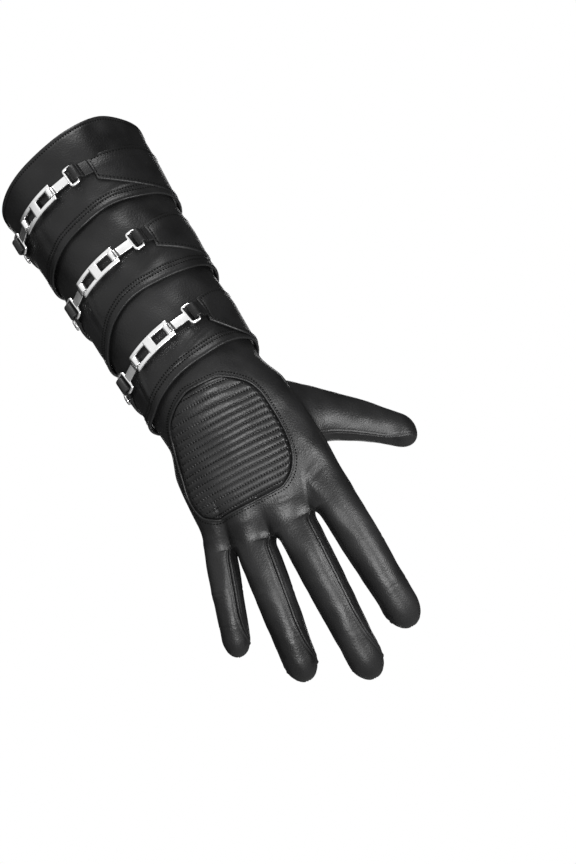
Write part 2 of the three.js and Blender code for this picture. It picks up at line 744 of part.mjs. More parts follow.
/** The piping: a thin roll of leather round the patch. */
function patchPiping() {
  const shares = [0, 0.05, 0.12, 0.22, 0.35, 0.5, 0.65, 0.8, 0.9, 0.96, 1];
  const inset = pipingThickness / 2;
  const left = shares.map((share) => patchEdge(share, "ulnar", inset));
  const right = shares.map((share) => patchEdge(share, "radial", inset)).reverse();
  const between = (from, to) => [0.2, 0.4, 0.6, 0.8].map((share) => patchBetween(from, to, share));
  const route = [
    ...left,
    ...between(left[left.length - 1], right[0]),
    ...right,
    ...between(right[right.length - 1], left[0]),
  ];
  const radius = pipingThickness / 2;
  const centre = route.map((edge) => patchSurface(edge, patchSeat + radius));
  const rings = centre.map(({ point, normal }, i) => {
    const before = centre[(i + centre.length - 1) % centre.length].point;
    const after = centre[(i + 1) % centre.length].point;
    const sideways = after.clone().sub(before).cross(normal).normalize();
    return Array.from({ length: wireSides }, (_, j) => {
      const angle = (j / wireSides) * 2 * Math.PI;
      return point.clone().addScaledVector(normal, radius * Math.cos(angle))
        .addScaledVector(sideways, radius * Math.sin(angle));
    });
  });
  return loft(rings, true);
}

/** A flap that lies on the cuff between two angles, with its upper and lower edge given at both. */
function cuffFlap(fromAngle, toAngle, edges) {
  const sheet = new Sheet();
  const angles = Array.from({ length: 9 }, (_, i) => mix(fromAngle, toAngle, i / 8));
  sheet.grid(angles, [0, 0.5, 1], (angle, share) => {
    const { top, bottom } = edges((angle - fromAngle) / (toAngle - fromAngle));
    return bandSurface(angle, mix(top, bottom, share), flapClearance + flapThickness);
  });
  return sheet.solid(flapThickness);
}

/** Places along a chain: the point above the leather, its normal and the way on, at a distance. */
function chainFrame(chain, distance, raise = chainHeight) {
  const height = (run) => -cuffLength * chain.along - chain.slope * run;
  const stepLength = 0.5 * Math.sign(distance);
  let angle = rad(chain.at);
  for (let run = 0; Math.abs(run) < Math.abs(distance); run += stepLength) {
    const here = cuffSurface(angle, height(run), 0).point;
    const ahead = cuffSurface(angle - 0.001, height(run), 0).point;
    angle -= (0.001 * stepLength) / ahead.distanceTo(here);
  }
  const z = height(distance);
  const { point, normal } = bandSurface(angle, z, raise);
  const ahead = bandSurface(angle - 0.002, z - chain.slope * 0.08, raise).point;
  const along = ahead.sub(point).normalize();
  const level = normal.clone().addScaledVector(along, -normal.dot(along)).normalize();
  return { point, along, normal: level, across: level.clone().cross(along), angle };
}

/** A straight flat bar from an eye round a pin to its far end, in the pin's own frame. */
function eyeBar(length, thickness, width, pinRadius) {
  const hole = pinRadius + pinClearance;
  const outer = hole + thickness * 0.8;
  const half = thickness / 2;
  const meet = Math.asin(half / outer);
  const outline = new THREE.Shape();
  outline.moveTo(length, -half);
  outline.lineTo(length, half);
  outline.absarc(0, 0, outer, meet, 2 * Math.PI - meet, false);
  const eye = new THREE.Path();
  eye.absarc(0, 0, hole, 0, 2 * Math.PI, true);
  outline.holes.push(eye);
  const bar = new THREE.ExtrudeGeometry(outline, { depth: width, bevelEnabled: false, curveSegments: 5 });
  bar.translate(0, 0, -width / 2);
  return bar;
}

/** Puts a geometry at a point, with its X along one direction and its Y along a normal. */
function place(geometry, point, along, normal) {
  const level = normal.clone().addScaledVector(along, -normal.dot(along)).normalize();
  const across = along.clone().cross(level);
  const matrix = new THREE.Matrix4().makeBasis(along, level, across).setPosition(point);
  return geometry.clone().applyMatrix4(matrix);
}

/** A round bar between two points. */
function roundBar(from, to, radius, side) {
  const along = to.clone().sub(from).normalize();
  const up = side.clone().cross(along).normalize();
  const across = along.clone().cross(up);
  const rings = [from, to].map((end) => Array.from({ length: wireSides }, (_, i) => {
    const angle = (i / wireSides) * 2 * Math.PI;
    const raised = end.clone().addScaledVector(up, radius * Math.cos(angle));
    return raised.addScaledVector(across, radius * Math.sin(angle));
  }));
  return loft(rings, false);
}

/** A flat bar of rectangular section through frames of a chain, between two places across it. */
function flatRail(frames, low, high, thickness) {
  const rings = frames.map(({ point, normal, across }) => [[low, -1], [high, -1], [high, 1], [low, 1]]
    .map(([sideways, up]) => point.clone().addScaledVector(across, sideways)
      .addScaledVector(normal, (up * thickness) / 2)));
  return loft(rings, false);
}

/** The frame link: two curved rails, a wide bar between them and a pin at each end. */
function frameLink(chain, start) {
  const half = frameLinkWidth / 2;
  const frames = (from, to, count) => Array.from({ length: count + 1 }, (_, i) => (
    chainFrame(chain, start + mix(from, to, i / count))));
  const railEnd = wireThickness;
  const whole = frames(-railEnd, frameLinkLength + railEnd, 6);
  const middle = frameLinkLength / 2;
  const centre = frames(middle - centreBarLength / 2, middle + centreBarLength / 2, 1);
  let solid = toSolid(flatRail(whole, -half, railWidth - half, railThickness));
  solid = solid.add(toSolid(flatRail(whole, half - railWidth, half, railThickness)));
  solid = solid.add(toSolid(flatRail(centre, 0.5 - half, half - 0.5, railThickness * 0.9)));
  for (const distance of [0, frameLinkLength]) {
    const { point, across, normal } = chainFrame(chain, start + distance);
    const reach = half - railWidth / 2;
    const ends = [-reach, reach].map((sideways) => point.clone().addScaledVector(across, sideways));
    solid = solid.add(toSolid(roundBar(ends[0], ends[1], wireThickness * 0.42, normal)));
  }
  return fromSolid(solid);
}

/** The bracket: a rounded wire stirrup soldered to the flat bar that hooks round the frame link's pin. */
function bracket(pin, bar) {
  const along = bar.point.clone().sub(pin.point).normalize();
  const reach = bar.point.distanceTo(pin.point);
  const radius = wireThickness / 2;
  const flat = eyeBar(reach, linkBarThickness, linkBarWidth, wireThickness * 0.42);
  const halfWidth = strapWidth / 2 + pinClearance + radius;
  const far = reach + bracketArm - wireThickness;
  const corner = 1.2;
  const route = [
    [reach, halfWidth - corner], [reach + corner, halfWidth],
    [far - corner, halfWidth], [far, halfWidth - corner],
    [far, corner - halfWidth], [far - corner, -halfWidth],
    [reach + corner, -halfWidth], [reach, corner - halfWidth],
  ];
  const rings = route.map(([x, z], i) => {
    const [nextX, nextZ] = route[(i + 1) % route.length];
    const [lastX, lastZ] = route[(i + route.length - 1) % route.length];
    const way = vector(nextX - lastX, 0, nextZ - lastZ).normalize();
    const sideways = vector(way.z, 0, -way.x);
    return Array.from({ length: wireSides }, (_, j) => {
      const angle = (j / wireSides) * 2 * Math.PI;
      return vector(x, radius * Math.sin(angle), z).addScaledVector(sideways, radius * Math.cos(angle));
    });
  });
  const stirrup = loft(rings, true);
  const solid = toSolid(flat).add(toSolid(stirrup));
  return { geometry: place(fromSolid(solid), pin.point, along, pin.normal), along, far };
}

/** The strap loop round the bracket's far bar, ending where the flap begins. */
function strapLoop(pin, link, end) {
  const centre = pin.point.clone().addScaledVector(link.along, link.far);
  const towards = end.point.clone().sub(centre);
  const length = towards.length();
  const loop = eyeBar(length, strapThickness, strapWidth, wireThickness / 2);
  return place(loop, centre, towards.normalize(), end.normal);
}

/** A low domed rivet on the cuff's side. */
function rivet(angle, z) {
  const seat = flapClearance + flapThickness + seamGap;
  const { point, normal } = bandSurface(angle, z, seat);
  const half = rivetWidth / 2;
  const shoulder = [[half, 0.35 * rivetHeight], [0.7 * half, 0.85 * rivetHeight]];
  const profile = [[0, 0], [half, 0], ...shoulder, [0, rivetHeight]];
  const dome = new THREE.LatheGeometry(profile.map(([x, y]) => new THREE.Vector2(x, y)), rivetSides);
  return place(dome, point, vector(0, 0, 1), normal);
}

/** All the pieces of one chain: flaps, straps, brackets, frame link and rivet. */
function addChain(chain, number) {
  const firstPin = chainFrame(chain, linkBarLength);
  const lastPin = chainFrame(chain, linkBarLength + frameLinkLength);
  const firstBar = chainFrame(chain, 0);
  const lastBar = chainFrame(chain, 2 * linkBarLength + frameLinkLength);
  const radial = bracket(firstPin, firstBar);
  const ulnar = bracket(lastPin, lastBar);
  add(`bracket_radial_${number}`, radial.geometry, metalFinish());
  add(`frame_link_${number}`, frameLink(chain, linkBarLength), metalFinish());
  add(`bracket_ulnar_${number}`, ulnar.geometry, metalFinish());

  const strapRaise = flapClearance + strapThickness / 2 + seamGap;
  const flapStart = chainFrame(chain, -chain.flapRun).angle;
  const flap = cuffFlap(flapStart, rad(flapBack), (at) => {
    const widened = 1 - (1 - Math.min(1, at * flapFlare)) ** 2;
    return {
      top: -cuffLength * mix(chain.top, chain.sideTop, widened),
      bottom: -cuffLength * mix(chain.bottom, chain.sideBottom, widened),
    };
  });
  add(`radial_flap_${number}`, flap, leatherFinish());
  const strapEnd = chainFrame(chain, 2 * seamGap - chain.flapRun, strapRaise);
  add(`radial_strap_${number}`, strapLoop(firstPin, radial, strapEnd), leatherFinish());

  const sideRun = 2 * linkBarLength + frameLinkLength + bracketArm + ulnarStrapRun;
  const side = chainFrame(chain, sideRun, strapRaise);
  const sideStart = chainFrame(chain, sideRun + 2 * seamGap).angle;
  const sideZ = -cuffLength * chain.along - chain.slope * sideRun;
  const sideEnd = sideStart - rad(38);
  const widen = (at) => mix(strapWidth / 2, strapWidth * 0.95, smooth(at));
  const sideFlap = cuffFlap(sideStart, sideEnd, (at) => ({ top: sideZ + widen(at), bottom: sideZ - widen(at) }));
  add(`ulnar_flap_${number}`, sideFlap, leatherFinish());
  add(`ulnar_strap_${number}`, strapLoop(lastPin, ulnar, side), leatherFinish());
  add(`rivet_${number}`, rivet(sideStart - rad(12), sideZ), metalFinish());
}

bands.forEach((band, index) => add(band.name, cuffBand(index), leatherFinish()));

const thumbHollow = thumbBody(wall);
add("back_panel", fromSolid(toSolid(handPanel(1, 0, wall)).subtract(thumbHollow)), leatherFinish());
add("palm_panel", fromSolid(toSolid(handPanel(-1, 0, wall)).subtract(thumbHollow)), leatherFinish());
crotches.forEach((row, k) => add(row.name, fourchette(k), leatherFinish()));
const thumbShell = thumbBody(0).subtract(thumbHollow).subtract(handBody(seamGap * 1.5));
add("thumb", fromSolid(thumbShell), leatherFinish());
add("quilted_patch", quiltedPatch(), leatherFinish());
add("patch_piping", patchPiping(), leatherFinish());
chains.forEach((chain, i) => addChain(chain, i + 1));

export default glove;
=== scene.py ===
# Long leather gauntlet glove for the right hand: leather, seams, stitching, quilting, straps and links.
# Shapes are worked out in millimetres and put into Blender in metres. The origin is the centre of the
# cuff's mouth, the fingers point down, the back of the hand faces -Y and the thumb is on the +X side.
import math

import bmesh
import bpy
import numpy as np
from bpy.props import FloatProperty, FloatVectorProperty, IntProperty, PointerProperty
from mathutils import Matrix, Vector


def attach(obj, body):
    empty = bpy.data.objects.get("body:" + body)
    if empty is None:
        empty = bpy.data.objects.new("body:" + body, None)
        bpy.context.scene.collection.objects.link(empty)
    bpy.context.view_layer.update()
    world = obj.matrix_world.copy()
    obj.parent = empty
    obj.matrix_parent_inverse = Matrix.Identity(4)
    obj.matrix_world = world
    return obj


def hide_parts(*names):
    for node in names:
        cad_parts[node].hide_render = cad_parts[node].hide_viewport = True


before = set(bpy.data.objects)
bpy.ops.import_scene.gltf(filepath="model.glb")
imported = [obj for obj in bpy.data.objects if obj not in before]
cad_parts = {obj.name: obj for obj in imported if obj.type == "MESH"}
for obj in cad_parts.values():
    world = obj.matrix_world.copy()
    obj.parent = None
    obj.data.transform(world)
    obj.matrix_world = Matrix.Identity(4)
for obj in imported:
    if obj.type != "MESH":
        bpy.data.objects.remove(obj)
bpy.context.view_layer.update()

bl_info = {
    "name": "Gauntlet glove",
    "version": (1, 0, 0),
    "blender": (4, 5, 0),
    "location": "View3D > Sidebar > Glove",
    "description": "Builds a long leather gauntlet glove with chain straps and a quilted patch",
    "category": "Add Mesh",
}

METRES = 0.001

# Leather and cuff, in millimetres
WALL = 1.4
SEAM_GAP = 0.3
WRIST_EASE = 0.9
CUFF_LENGTH = 158
MOUTH_WIDTH = 94
MOUTH_DEPTH = 88
WRIST_WIDTH = 74
WRIST_DEPTH = 67
BAND_OVERLAP = 9
HEM_HEIGHT = 9
# How far from a band's top and from its hem the rows of its mesh lie closer together
TOP_ZONE = 8
HEM_ZONE = 9

# Hand
HAND_LENGTH = 92.5
HAND_BREADTH = 89
HAND_THICKNESS = 34
WRIST_FLEXION = 16
WRIST_BEND_START = -4
WRIST_BEND_LENGTH = 26
KNUCKLE_FADE = 30
MIDDLE_LENGTH = 97
MIDDLE_WIDTH = 22.4
FINGER_FLATNESS = 0.94
FINGER_CURL = 20
FINGER_TAPER = 0.15
FINGER_CAP = 0.62
CROTCH_ROUND = 5
CROTCH_EASE = 24
# How far the leather between two knuckles stands over the valley of the finger tubes, and how long it fades
VALLEY_FILL = 4.2
VALLEY_RUN = 17
SEAM_ANGLE = 62
# A fourchette ends this share before the finger's tip
FOURCHETTE_SHORT = 0.015
THUMB_LENGTH = 87
THUMB_WIDTH = 27
THUMB_CAP = 0.42
# The share of the thumb's tube that stays inside the hand
THUMB_BURIED = 0.2
# The share of the thumb over which its root eases from the hand on to its own tube
THUMB_EASE = 0.36

# Patch, straps and links
PATCH_LENGTH = 66.2
PATCH_START = 7.4
PATCH_SLANT = 4.9
PATCH_SEAT = 0.95
STRAP_WIDTH = 9
STRAP_THICKNESS = 2.2
FLAP_THICKNESS = 1.4
FLAP_CLEARANCE = 0.3
FLAP_BACK = 97
ULNAR_FLAP_TURN = 38
RIVET_TURN = 12
FLAP_FLARE = 1.4
PIN_CLEARANCE = 0.35
BRACKET_ARM = 6.8
ULNAR_STRAP_RUN = 4
LINK_BAR_LENGTH = 12.2
LINK_BAR_WIDTH = 5.3
FRAME_LINK_LENGTH = 24
FRAME_LINK_WIDTH = 10.8
RAIL_WIDTH = 2.5
CENTRE_BAR_LENGTH = 4.8
CHAIN_HEIGHT = 2.6
# Radius of a frame link's pin as a share of the wire's thickness
PIN_SHARE = 0.42
RIVET_WIDTH = 7
RIVET_HEIGHT = 1.5
PATCH_BASE = PATCH_SEAT * 0.6

# Thickness of the hand's and the patch's leather, inwards from its face
HAND_SHEET = 1.1
PATCH_SHEET = 1.3
# Places inside the hand that the hand's and the patch's leather faces away from
HAND_INSIDE = (-8, 16, -230)
PATCH_INSIDE = (-8, 16, -200)

# Rows of stitches over every hem and below the cuff's rim, how deep every stitch dives, and half the width
# of the groove that a row pulls in
HEM_ROWS = (4.8, 7.2)
RIM_ROW = 2.6
STITCH_SINK = 0.25
GROOVE_WIDTH = 0.45
# A seam's bead and the groove of its stitches: how far they lie from the seam
BEAD_INSET = 0.85
BEAD_WIDTH = 0.42
GROOVE_INSET = 1.75
GROOVE_DEPTH = 0.25
# The quilting: the pitch and length of its stitches, their thread, and the puff of the leather between them
STITCH_IN_QUILT = 1.6
QUILT_STITCH_LENGTH = 1.0
QUILT_THREAD = 0.85
QUILT_PUFF = 0.4
FLAP_STITCH_INSET = 2.0
FLAP_STITCH_PITCH = 2.0
FLAP_STITCH_LENGTH = 1.2
FLAP_THREAD = 0.6

CUFF_SECTIONS = {"along": (0, 0.32, 0.67, 1), "width": (0, 0.4, 0.75, 1), "depth": (0, 0.39, 0.73, 1)}

# Heights of the cuff's edges round it, as shares of its length below the origin
CUFF_EDGES = {
    "around": (-180, -90, -60, -35, -10, 15, 40, 65, 90, 180),
    "mouth": (0.013, 0.025, 0.021, 0.016, 0.008, -0.009, -0.022, -0.003, 0.002, 0.013),
    "top": (0.36, 0.389, 0.375, 0.357, 0.346, 0.334, 0.34, 0.338, 0.339, 0.36),
    "middle": (0.709, 0.772, 0.745, 0.704, 0.679, 0.677, 0.671, 0.657, 0.652, 0.709),
    "lower": (1.03, 1.045, 1.054, 1.035, 1.016, 1.005, 0.988, 0.978, 0.974, 1.03),
}
BANDS = (("cuff_band_top", "top"), ("cuff_band_middle", "middle"), ("cuff_band_lower", "lower"))

WRIST_HALF_WIDTH = WRIST_WIDTH / 2 - WALL - WRIST_EASE
WRIST_HALF_DEPTH = WRIST_DEPTH / 2 - WALL - WRIST_EASE
HAND_SECTIONS = {
    "along": (-0.11, 0.03, 0.22, 0.42, 0.7, 1),
    "ulnar": (WRIST_HALF_WIDTH,) * 2 + tuple(HAND_BREADTH * v for v in (0.385, 0.45, 0.49, 0.56)),
    "radial": (WRIST_HALF_WIDTH,) * 2 + tuple(HAND_BREADTH * v for v in (0.44, 0.455, 0.458, 0.43)),
    "back": (WRIST_HALF_DEPTH,) * 2 + tuple(HAND_THICKNESS * v for v in (0.74, 0.62, 0.52, 0.4)),
    "palm": (WRIST_HALF_DEPTH,) * 2 + tuple(HAND_THICKNESS * v for v in (0.76, 0.66, 0.5, 0.38)),
}

# Fingers from the little finger to the index: across, along, rise, splay in degrees, length, width
FINGERS = (
    ("little", -0.475, 0.93, -0.13, 22, 0.575, 0.78),
    ("ring", -0.25, 0.98, 0, 11.5, 0.828, 0.96),
    ("middle", 0.028, 1, 0.05, 5, 0.99, 1),
    ("index", 0.315, 1, 0, 1, 0.85, 1.03),
)
# A finger's two joints, as shares of its length with their size, and the folds across each of them
JOINTS = ((0.36, 1.0), (0.68, 0.7))
JOINT_FOLDS = ((-0.022, 0.25), (0, -0.3), (0.022, 0.25))
# How far each finger's seams are turned towards the little finger, in degrees
SEAM_TURNS = (30, 28, 24, 8)
CROTCHES = (
    ("fourchette_ring_little", -0.381, 0.93),
    ("fourchette_middle_ring", -0.138, 1),
    ("fourchette_index_middle", 0.205, 1),
)
THUMB_SECTIONS = {
    "along": (0, 0.3, 0.55, 0.8, 1),
    "width": (1.5, 1.2, 0.92, 0.72, 0.66),
    "depth": (0.98, 0.94, 0.82, 0.68, 0.6),
}
THUMB_ROOT = (0.22, 0.33, -0.36)
THUMB_DIRECTION = (0.765, 0.628, -0.175)
THUMB_BOW = (0.03, -0.04, -0.02)
PATCH_OUTLINE = {
    "along": (0, 0.05, 0.13, 0.3, 0.55, 0.76, 0.93, 1),
    "ulnar": (-0.11, -0.215, -0.305, -0.36, -0.415, -0.45, -0.435, -0.37),
    "radial": (0.12, 0.2, 0.268, 0.292, 0.288, 0.258, 0.19, 0.12),
}

# The chains: the first bracket's angle and height, the slope, the run to the radial flap, and that flap's
# edges where it begins and at the glove's side. Heights are shares of the cuff's length.
CHAIN_KEYS = ("at", "along", "slope", "flap_run", "top", "bottom", "side_top", "side_bottom")
CHAIN_ROWS = (
    (-3, 0.171, 0.05, 14.1, 0.13, 0.221, 0.12, 0.316),
    (11.7, 0.505, 0.1, 11.5, 0.456, 0.55, 0.411, 0.595),
    (19, 0.849, 0.13, 10.9, 0.789, 0.887, 0.747, 0.965),
)
CHAINS = [dict(zip(CHAIN_KEYS, row)) for row in CHAIN_ROWS]

# Soft folds of the cuff: angle, height, turn in degrees, length, width and height in millimetres.
# Round the cuff they are measured on a circle of about its radius.
FOLD_RADIUS = 42.0
CUFF_FOLDS = (
    (-52, -42, 80, 30, 2.6, 0.35),
    (-44, -40, 84, 24, 2.2, -0.25),
    (-60, -50, 70, 18, 2.2, 0.4),
    (24, -47, 12, 34, 2.2, 0.35),
    (30, -43, 8, 26, 2.0, -0.3),
    (-24, -20, 60, 30, 5.0, 0.5),
    (20, -14, 75, 30, 7.0, 0.7),
    (-46, -95, 78, 28, 2.2, 0.4),
    (-54, -97, 82, 24, 2.2, -0.3),
    (-38, -92, 70, 20, 2.2, 0.25),
    (28, -99, 14, 34, 2.2, 0.4),
    (22, -94, 18, 30, 2.4, -0.35),
    (34, -102, 9, 26, 2.0, 0.3),
    (-8, -92, 50, 26, 4.0, 0.5),
    (6, -145, 24, 40, 2.0, 0.5),
    (14, -149, 20, 36, 1.8, -0.4),
    (18, -145, 17, 32, 1.9, 0.4),
    (2, -150, 26, 34, 2.0, 0.3),
    (-46, -150, 74, 24, 2.0, 0.7),
    (-54, -152, 80, 22, 2.0, -0.5),
    (60, -70, 70, 24, 4.0, 0.6),
    (120, -30, 65, 40, 4.5, 0.9),
    (150, -80, 35, 46, 4.0, 0.9),
    (-150, -60, -40, 44, 4.0, 0.9),
    (-120, -120, -65, 40, 3.5, 0.8),
    (175, -135, 12, 40, 3.0, 0.8),
    (110, -130, 60, 34, 3.0, 0.7),
)

# Soft folds of the hand: across, along, turn in degrees, length, width, height, on the back or the palm,
# and the share of that height that they have in the leather
FOLD_SHARE = 0.55
BACK_FOLDS = (
    (26, 8, 55, 26, 2.6, 0.7),
    (31, 14, 60, 24, 2.2, -0.5),
    (20, 4, 20, 30, 2.4, 0.5),
    (24, 78, -24, 14, 1.1, 0.45),
    (27, 81, -20, 12, 1.0, -0.45),
    (22, 75, -30, 12, 1.0, 0.35),
    (-34, 78, 90, 20, 2.0, -0.7),
    (-12.5, 84, 90, 22, 2.2, -0.8),
    (18, 84, 90, 22, 2.2, -0.8),
    (-44, 76, 20, 15, 1.4, 0.5),
    (-24, 80, 14, 15, 1.5, 0.5),
    (3, 84, 8, 14, 1.6, 0.4),
    (4, 84, 14, 14, 1.3, 0.35),
    (-22, 82, 12, 14, 1.4, 0.35),
    (31, 62, 74, 26, 3.4, 0.6),
)
PALM_FOLDS = (
    (4, 60, 28, 44, 2.2, -0.9),
    (-8, 74, 12, 46, 2.2, -0.8),
    (10, 30, 66, 44, 3.0, -0.9),
    (-26, 48, 70, 30, 3.4, 0.9),
    (-4, 6, 4, 44, 2.6, 0.9),
    (2, 12, -4, 40, 2.4, -0.7),
)


def mix(a, b, share):
    return a + (b - a) * share


def smooth(value):
    value = np.clip(value, 0, 1)
    return value * value * (3 - 2 * value)


def hill(distance, width):
    """A smooth hill: e to the power of minus the square of distance over width."""
    return np.exp(-((distance / width) ** 2))


def vec(x, y, z):
    return np.stack(np.broadcast_arrays(x, y, z), axis=-1).astype(float)


def dot(a, b):
    return (a * b).sum(-1, keepdims=True)


def unit(v):
    return v / np.maximum(np.linalg.norm(v, axis=-1, keepdims=True), 1e-12)


def run_along(path):
    """Distance along a path at each of its points."""
    return np.concatenate([[0], np.cumsum(np.linalg.norm(np.diff(path, axis=0), axis=1))])


def at_runs(at, run, path):
    """A path's points at distances along it."""
    return np.stack([np.interp(at, run, path[:, k]) for k in range(path.shape[1])], -1)


def read(table, column, at, key="along"):
    """A column of a table on the cubic curve through its rows, level where the rows turn back."""
    x = np.array(table[key], float)
    y = np.array(table[column], float)
    run, rise = np.diff(x), np.diff(y)
    slope = np.concatenate([[rise[0] / run[0]], (y[2:] - y[:-2]) / (x[2:] - x[:-2]), [rise[-1] / run[-1]]])
    slope[1:-1][rise[:-1] * rise[1:] <= 0] = 0
    at = np.clip(at, x[0], x[-1])
    i = np.clip(np.searchsorted(x, at, side="right") - 1, 0, len(x) - 2)
    t = (at - x[i]) / run[i]
    from_, to = slope[i] * run[i], slope[i + 1] * run[i]
    cubic = 2 * (y[i] - y[i + 1]) + from_ + to
    square = 3 * (y[i + 1] - y[i]) - 2 * from_ - to
    return ((cubic * t + square) * t + from_) * t + y[i]


def folds(across, along, table):
    """Soft folds: each is a hill across its line that dies away towards its ends, and they add up."""
    total = np.zeros(np.broadcast(across, along).shape)
    for at, height, turn, length, width, rise in table:
        c, s = math.cos(math.radians(turn)), math.sin(math.radians(turn))
        u = (across - at) * c + (along - height) * s
        v = (along - height) * c - (across - at) * s + 0.004 * u * u
        total += rise * hill(v, width) * hill(u, length / 2)
    return total


def undulation(point, size, height, seed):
    """Gentle unevenness: the sum of eight sine waves in chance directions, about a size apart."""
    chance = np.random.default_rng(seed)
    ways = unit(chance.normal(size=(8, 3))) * (2 * math.pi / size) * chance.uniform(0.6, 1.5, size=(8, 1))
    phases = chance.uniform(0, 2 * math.pi, size=8)
    return height * np.sin(point @ ways.T + phases).sum(-1) / math.sqrt(8)


def cuff_surface(angle, z, lift):
    """Ellipses whose width and depth shrink from mouth to wrist, and the way out from them."""
    along = -z / CUFF_LENGTH
    half_width = mix(MOUTH_WIDTH, WRIST_WIDTH, read(CUFF_SECTIONS, "width", along)) / 2
    half_depth = mix(MOUTH_DEPTH, WRIST_DEPTH, read(CUFF_SECTIONS, "depth", along)) / 2
    normal = unit(vec(np.sin(angle) / half_width, -np.cos(angle) / half_depth, 0))
    point = vec(half_width * np.sin(angle), -half_depth * np.cos(angle), z)
    return point + normal * np.asarray(lift)[..., None], normal


def edge_height(edge, angle):
    around = np.degrees(np.arctan2(np.sin(angle), np.cos(angle)))
    return -CUFF_LENGTH * read(CUFF_EDGES, edge, around, "around")


def upper_edge(index, angle):
    if index == 0:
        return edge_height("mouth", angle)
    return edge_height(BANDS[index - 1][1], angle) + BAND_OVERLAP


def band_raise(index, angle, z, puff):
    """How far a band stands off the cuff's outline: tucked in at its top and puffed at its hem."""
    lower = edge_height(BANDS[index][1], angle)
    hem = smooth(1 - (z - lower) / HEM_HEIGHT) * puff
    if index == 0:
        return hem
    above = edge_height(BANDS[index - 1][1], angle)
    return hem - (WALL + SEAM_GAP) * (1 - smooth((above - z) / (0.5 * (above - lower))))


def band_surface(angle, z, lift, puff=0.9):
    """Point and normal on whichever band shows at a height."""
    raise_ = band_raise(2, angle, z, puff)
    for index in (1, 0):
        shown = z >= edge_height(BANDS[index][1], angle)
        raise_ = np.where(shown, band_raise(index, angle, z, puff), raise_)
    return cuff_surface(angle, z, raise_ + lift)


def hand_frame(s):
    """The hand's centre line: down the cuff's axis, then round an arc towards the palm."""
    s = np.asarray(s, float)
    radius = WRIST_BEND_LENGTH / math.radians(WRIST_FLEXION)
    turn = math.radians(WRIST_FLEXION) * np.clip((s - WRIST_BEND_START) / WRIST_BEND_LENGTH, 0, 1)
    straight = np.minimum(s, WRIST_BEND_START)
    after = np.maximum(0, s - WRIST_BEND_START - WRIST_BEND_LENGTH)
    distal = vec(0, np.sin(turn), -np.cos(turn))
    back = vec(0, -np.cos(turn), -np.sin(turn))
    origin = vec(0, radius * (1 - np.cos(turn)), -CUFF_LENGTH - straight - radius * np.sin(turn))
    return origin + distal * after[..., None], distal, back


def hand_place(across, s, rise):
    origin, _, back = hand_frame(s)
    return origin + vec(across, 0, 0) + back * np.asarray(rise)[..., None]


def hand_width(s):
    ulnar = read(HAND_SECTIONS, "ulnar", s / HAND_LENGTH)
    radial = read(HAND_SECTIONS, "radial", s / HAND_LENGTH)
    return (ulnar + radial) / 2, (radial - ulnar) / 2


def plain_hand(s, angle, side):
    """Half an ellipse for the back or the palm, a little fuller than an ellipse past the wrist."""
    half, middle = hand_width(s)
    height = read(HAND_SECTIONS, "back" if side > 0 else "palm", s / HAND_LENGTH)
    fullness = mix(1, 0.78, smooth(s / HAND_LENGTH / 0.35))
    rise = side * height * np.maximum(np.cos(angle), 0) ** fullness
    back = hand_frame(s)[2]
    normal = vec(np.sin(angle) / half, 0, 0) + back * (side * np.cos(angle) / height)[..., None]
    return hand_place(middle + half * np.sin(angle), s, rise), unit(normal)


def finger_axes(row):
    """A finger's base, its three axes, its length and its width."""
    _, across, along, rise, splay, length, width = row
    s = along * HAND_LENGTH
    _, distal, back = hand_frame(s)
    turn = math.radians(splay)
    sideways = np.array([math.cos(turn), 0, 0]) + distal * math.sin(turn)
    forward = np.array([-math.sin(turn), 0, 0]) + distal * math.cos(turn)
    base = hand_place(across * HAND_BREADTH, s, rise * HAND_THICKNESS)
    return base, sideways, forward, back, length * MIDDLE_LENGTH, width * MIDDLE_WIDTH


TUBES = [finger_axes(row) for row in FINGERS]


def finger_tube(f, u, angle):
    """A tube that curls on an arc towards the palm, tapers, and ends in a round cap."""
    base, sideways, forward, back, length, width = TUBES[f]
    bend = math.radians(FINGER_CURL) / length
    turn = bend * np.maximum(0, u)
    forward_run = np.where(u > 0, np.sin(turn) / bend, u)
    cap_length = FINGER_CAP * width
    into_cap = np.clip((u - length + cap_length) / cap_length, 0, 1)
    cap = np.sqrt(1 - into_cap**2)
    taper = 1 - FINGER_TAPER * smooth((u / length - 0.1) / 0.9)
    half_width = (width / 2) * taper * cap
    raised = np.cos(turn)[..., None] * back + np.sin(turn)[..., None] * forward
    ahead = np.cos(turn)[..., None] * forward - np.sin(turn)[..., None] * back
    point = base + forward_run[..., None] * forward - ((1 - np.cos(turn)) / bend)[..., None] * back
    point = point + (half_width * np.sin(angle))[..., None] * sideways
    point = point + (half_width * FINGER_FLATNESS * np.cos(angle))[..., None] * raised
    normal = unit((np.sin(angle) * FINGER_FLATNESS)[..., None] * sideways + np.cos(angle)[..., None] * raised)
    return point, unit(normal * cap[..., None] + ahead * into_cap[..., None]), ahead


def seam_at(share):
    """Angle of the seam beside a fourchette, which closes round the finger's tip."""
    return np.radians(mix(SEAM_ANGLE, 90, smooth((share - 0.72) / 0.26)))


def seam_turn(f, share):
    """How far a finger's seams are turned at a share of its length: straight again at its tip."""
    return math.radians(SEAM_TURNS[f]) * (1 - smooth((share - 0.55) / 0.4))


ROOT_HALF, ROOT_MIDDLE = hand_width(HAND_LENGTH)
STRIP_EDGES = (
    [-math.pi / 2]
    + [math.asin((across * HAND_BREADTH - ROOT_MIDDLE) / ROOT_HALF) for _, across, _ in CROTCHES]
    + [math.pi / 2]
)


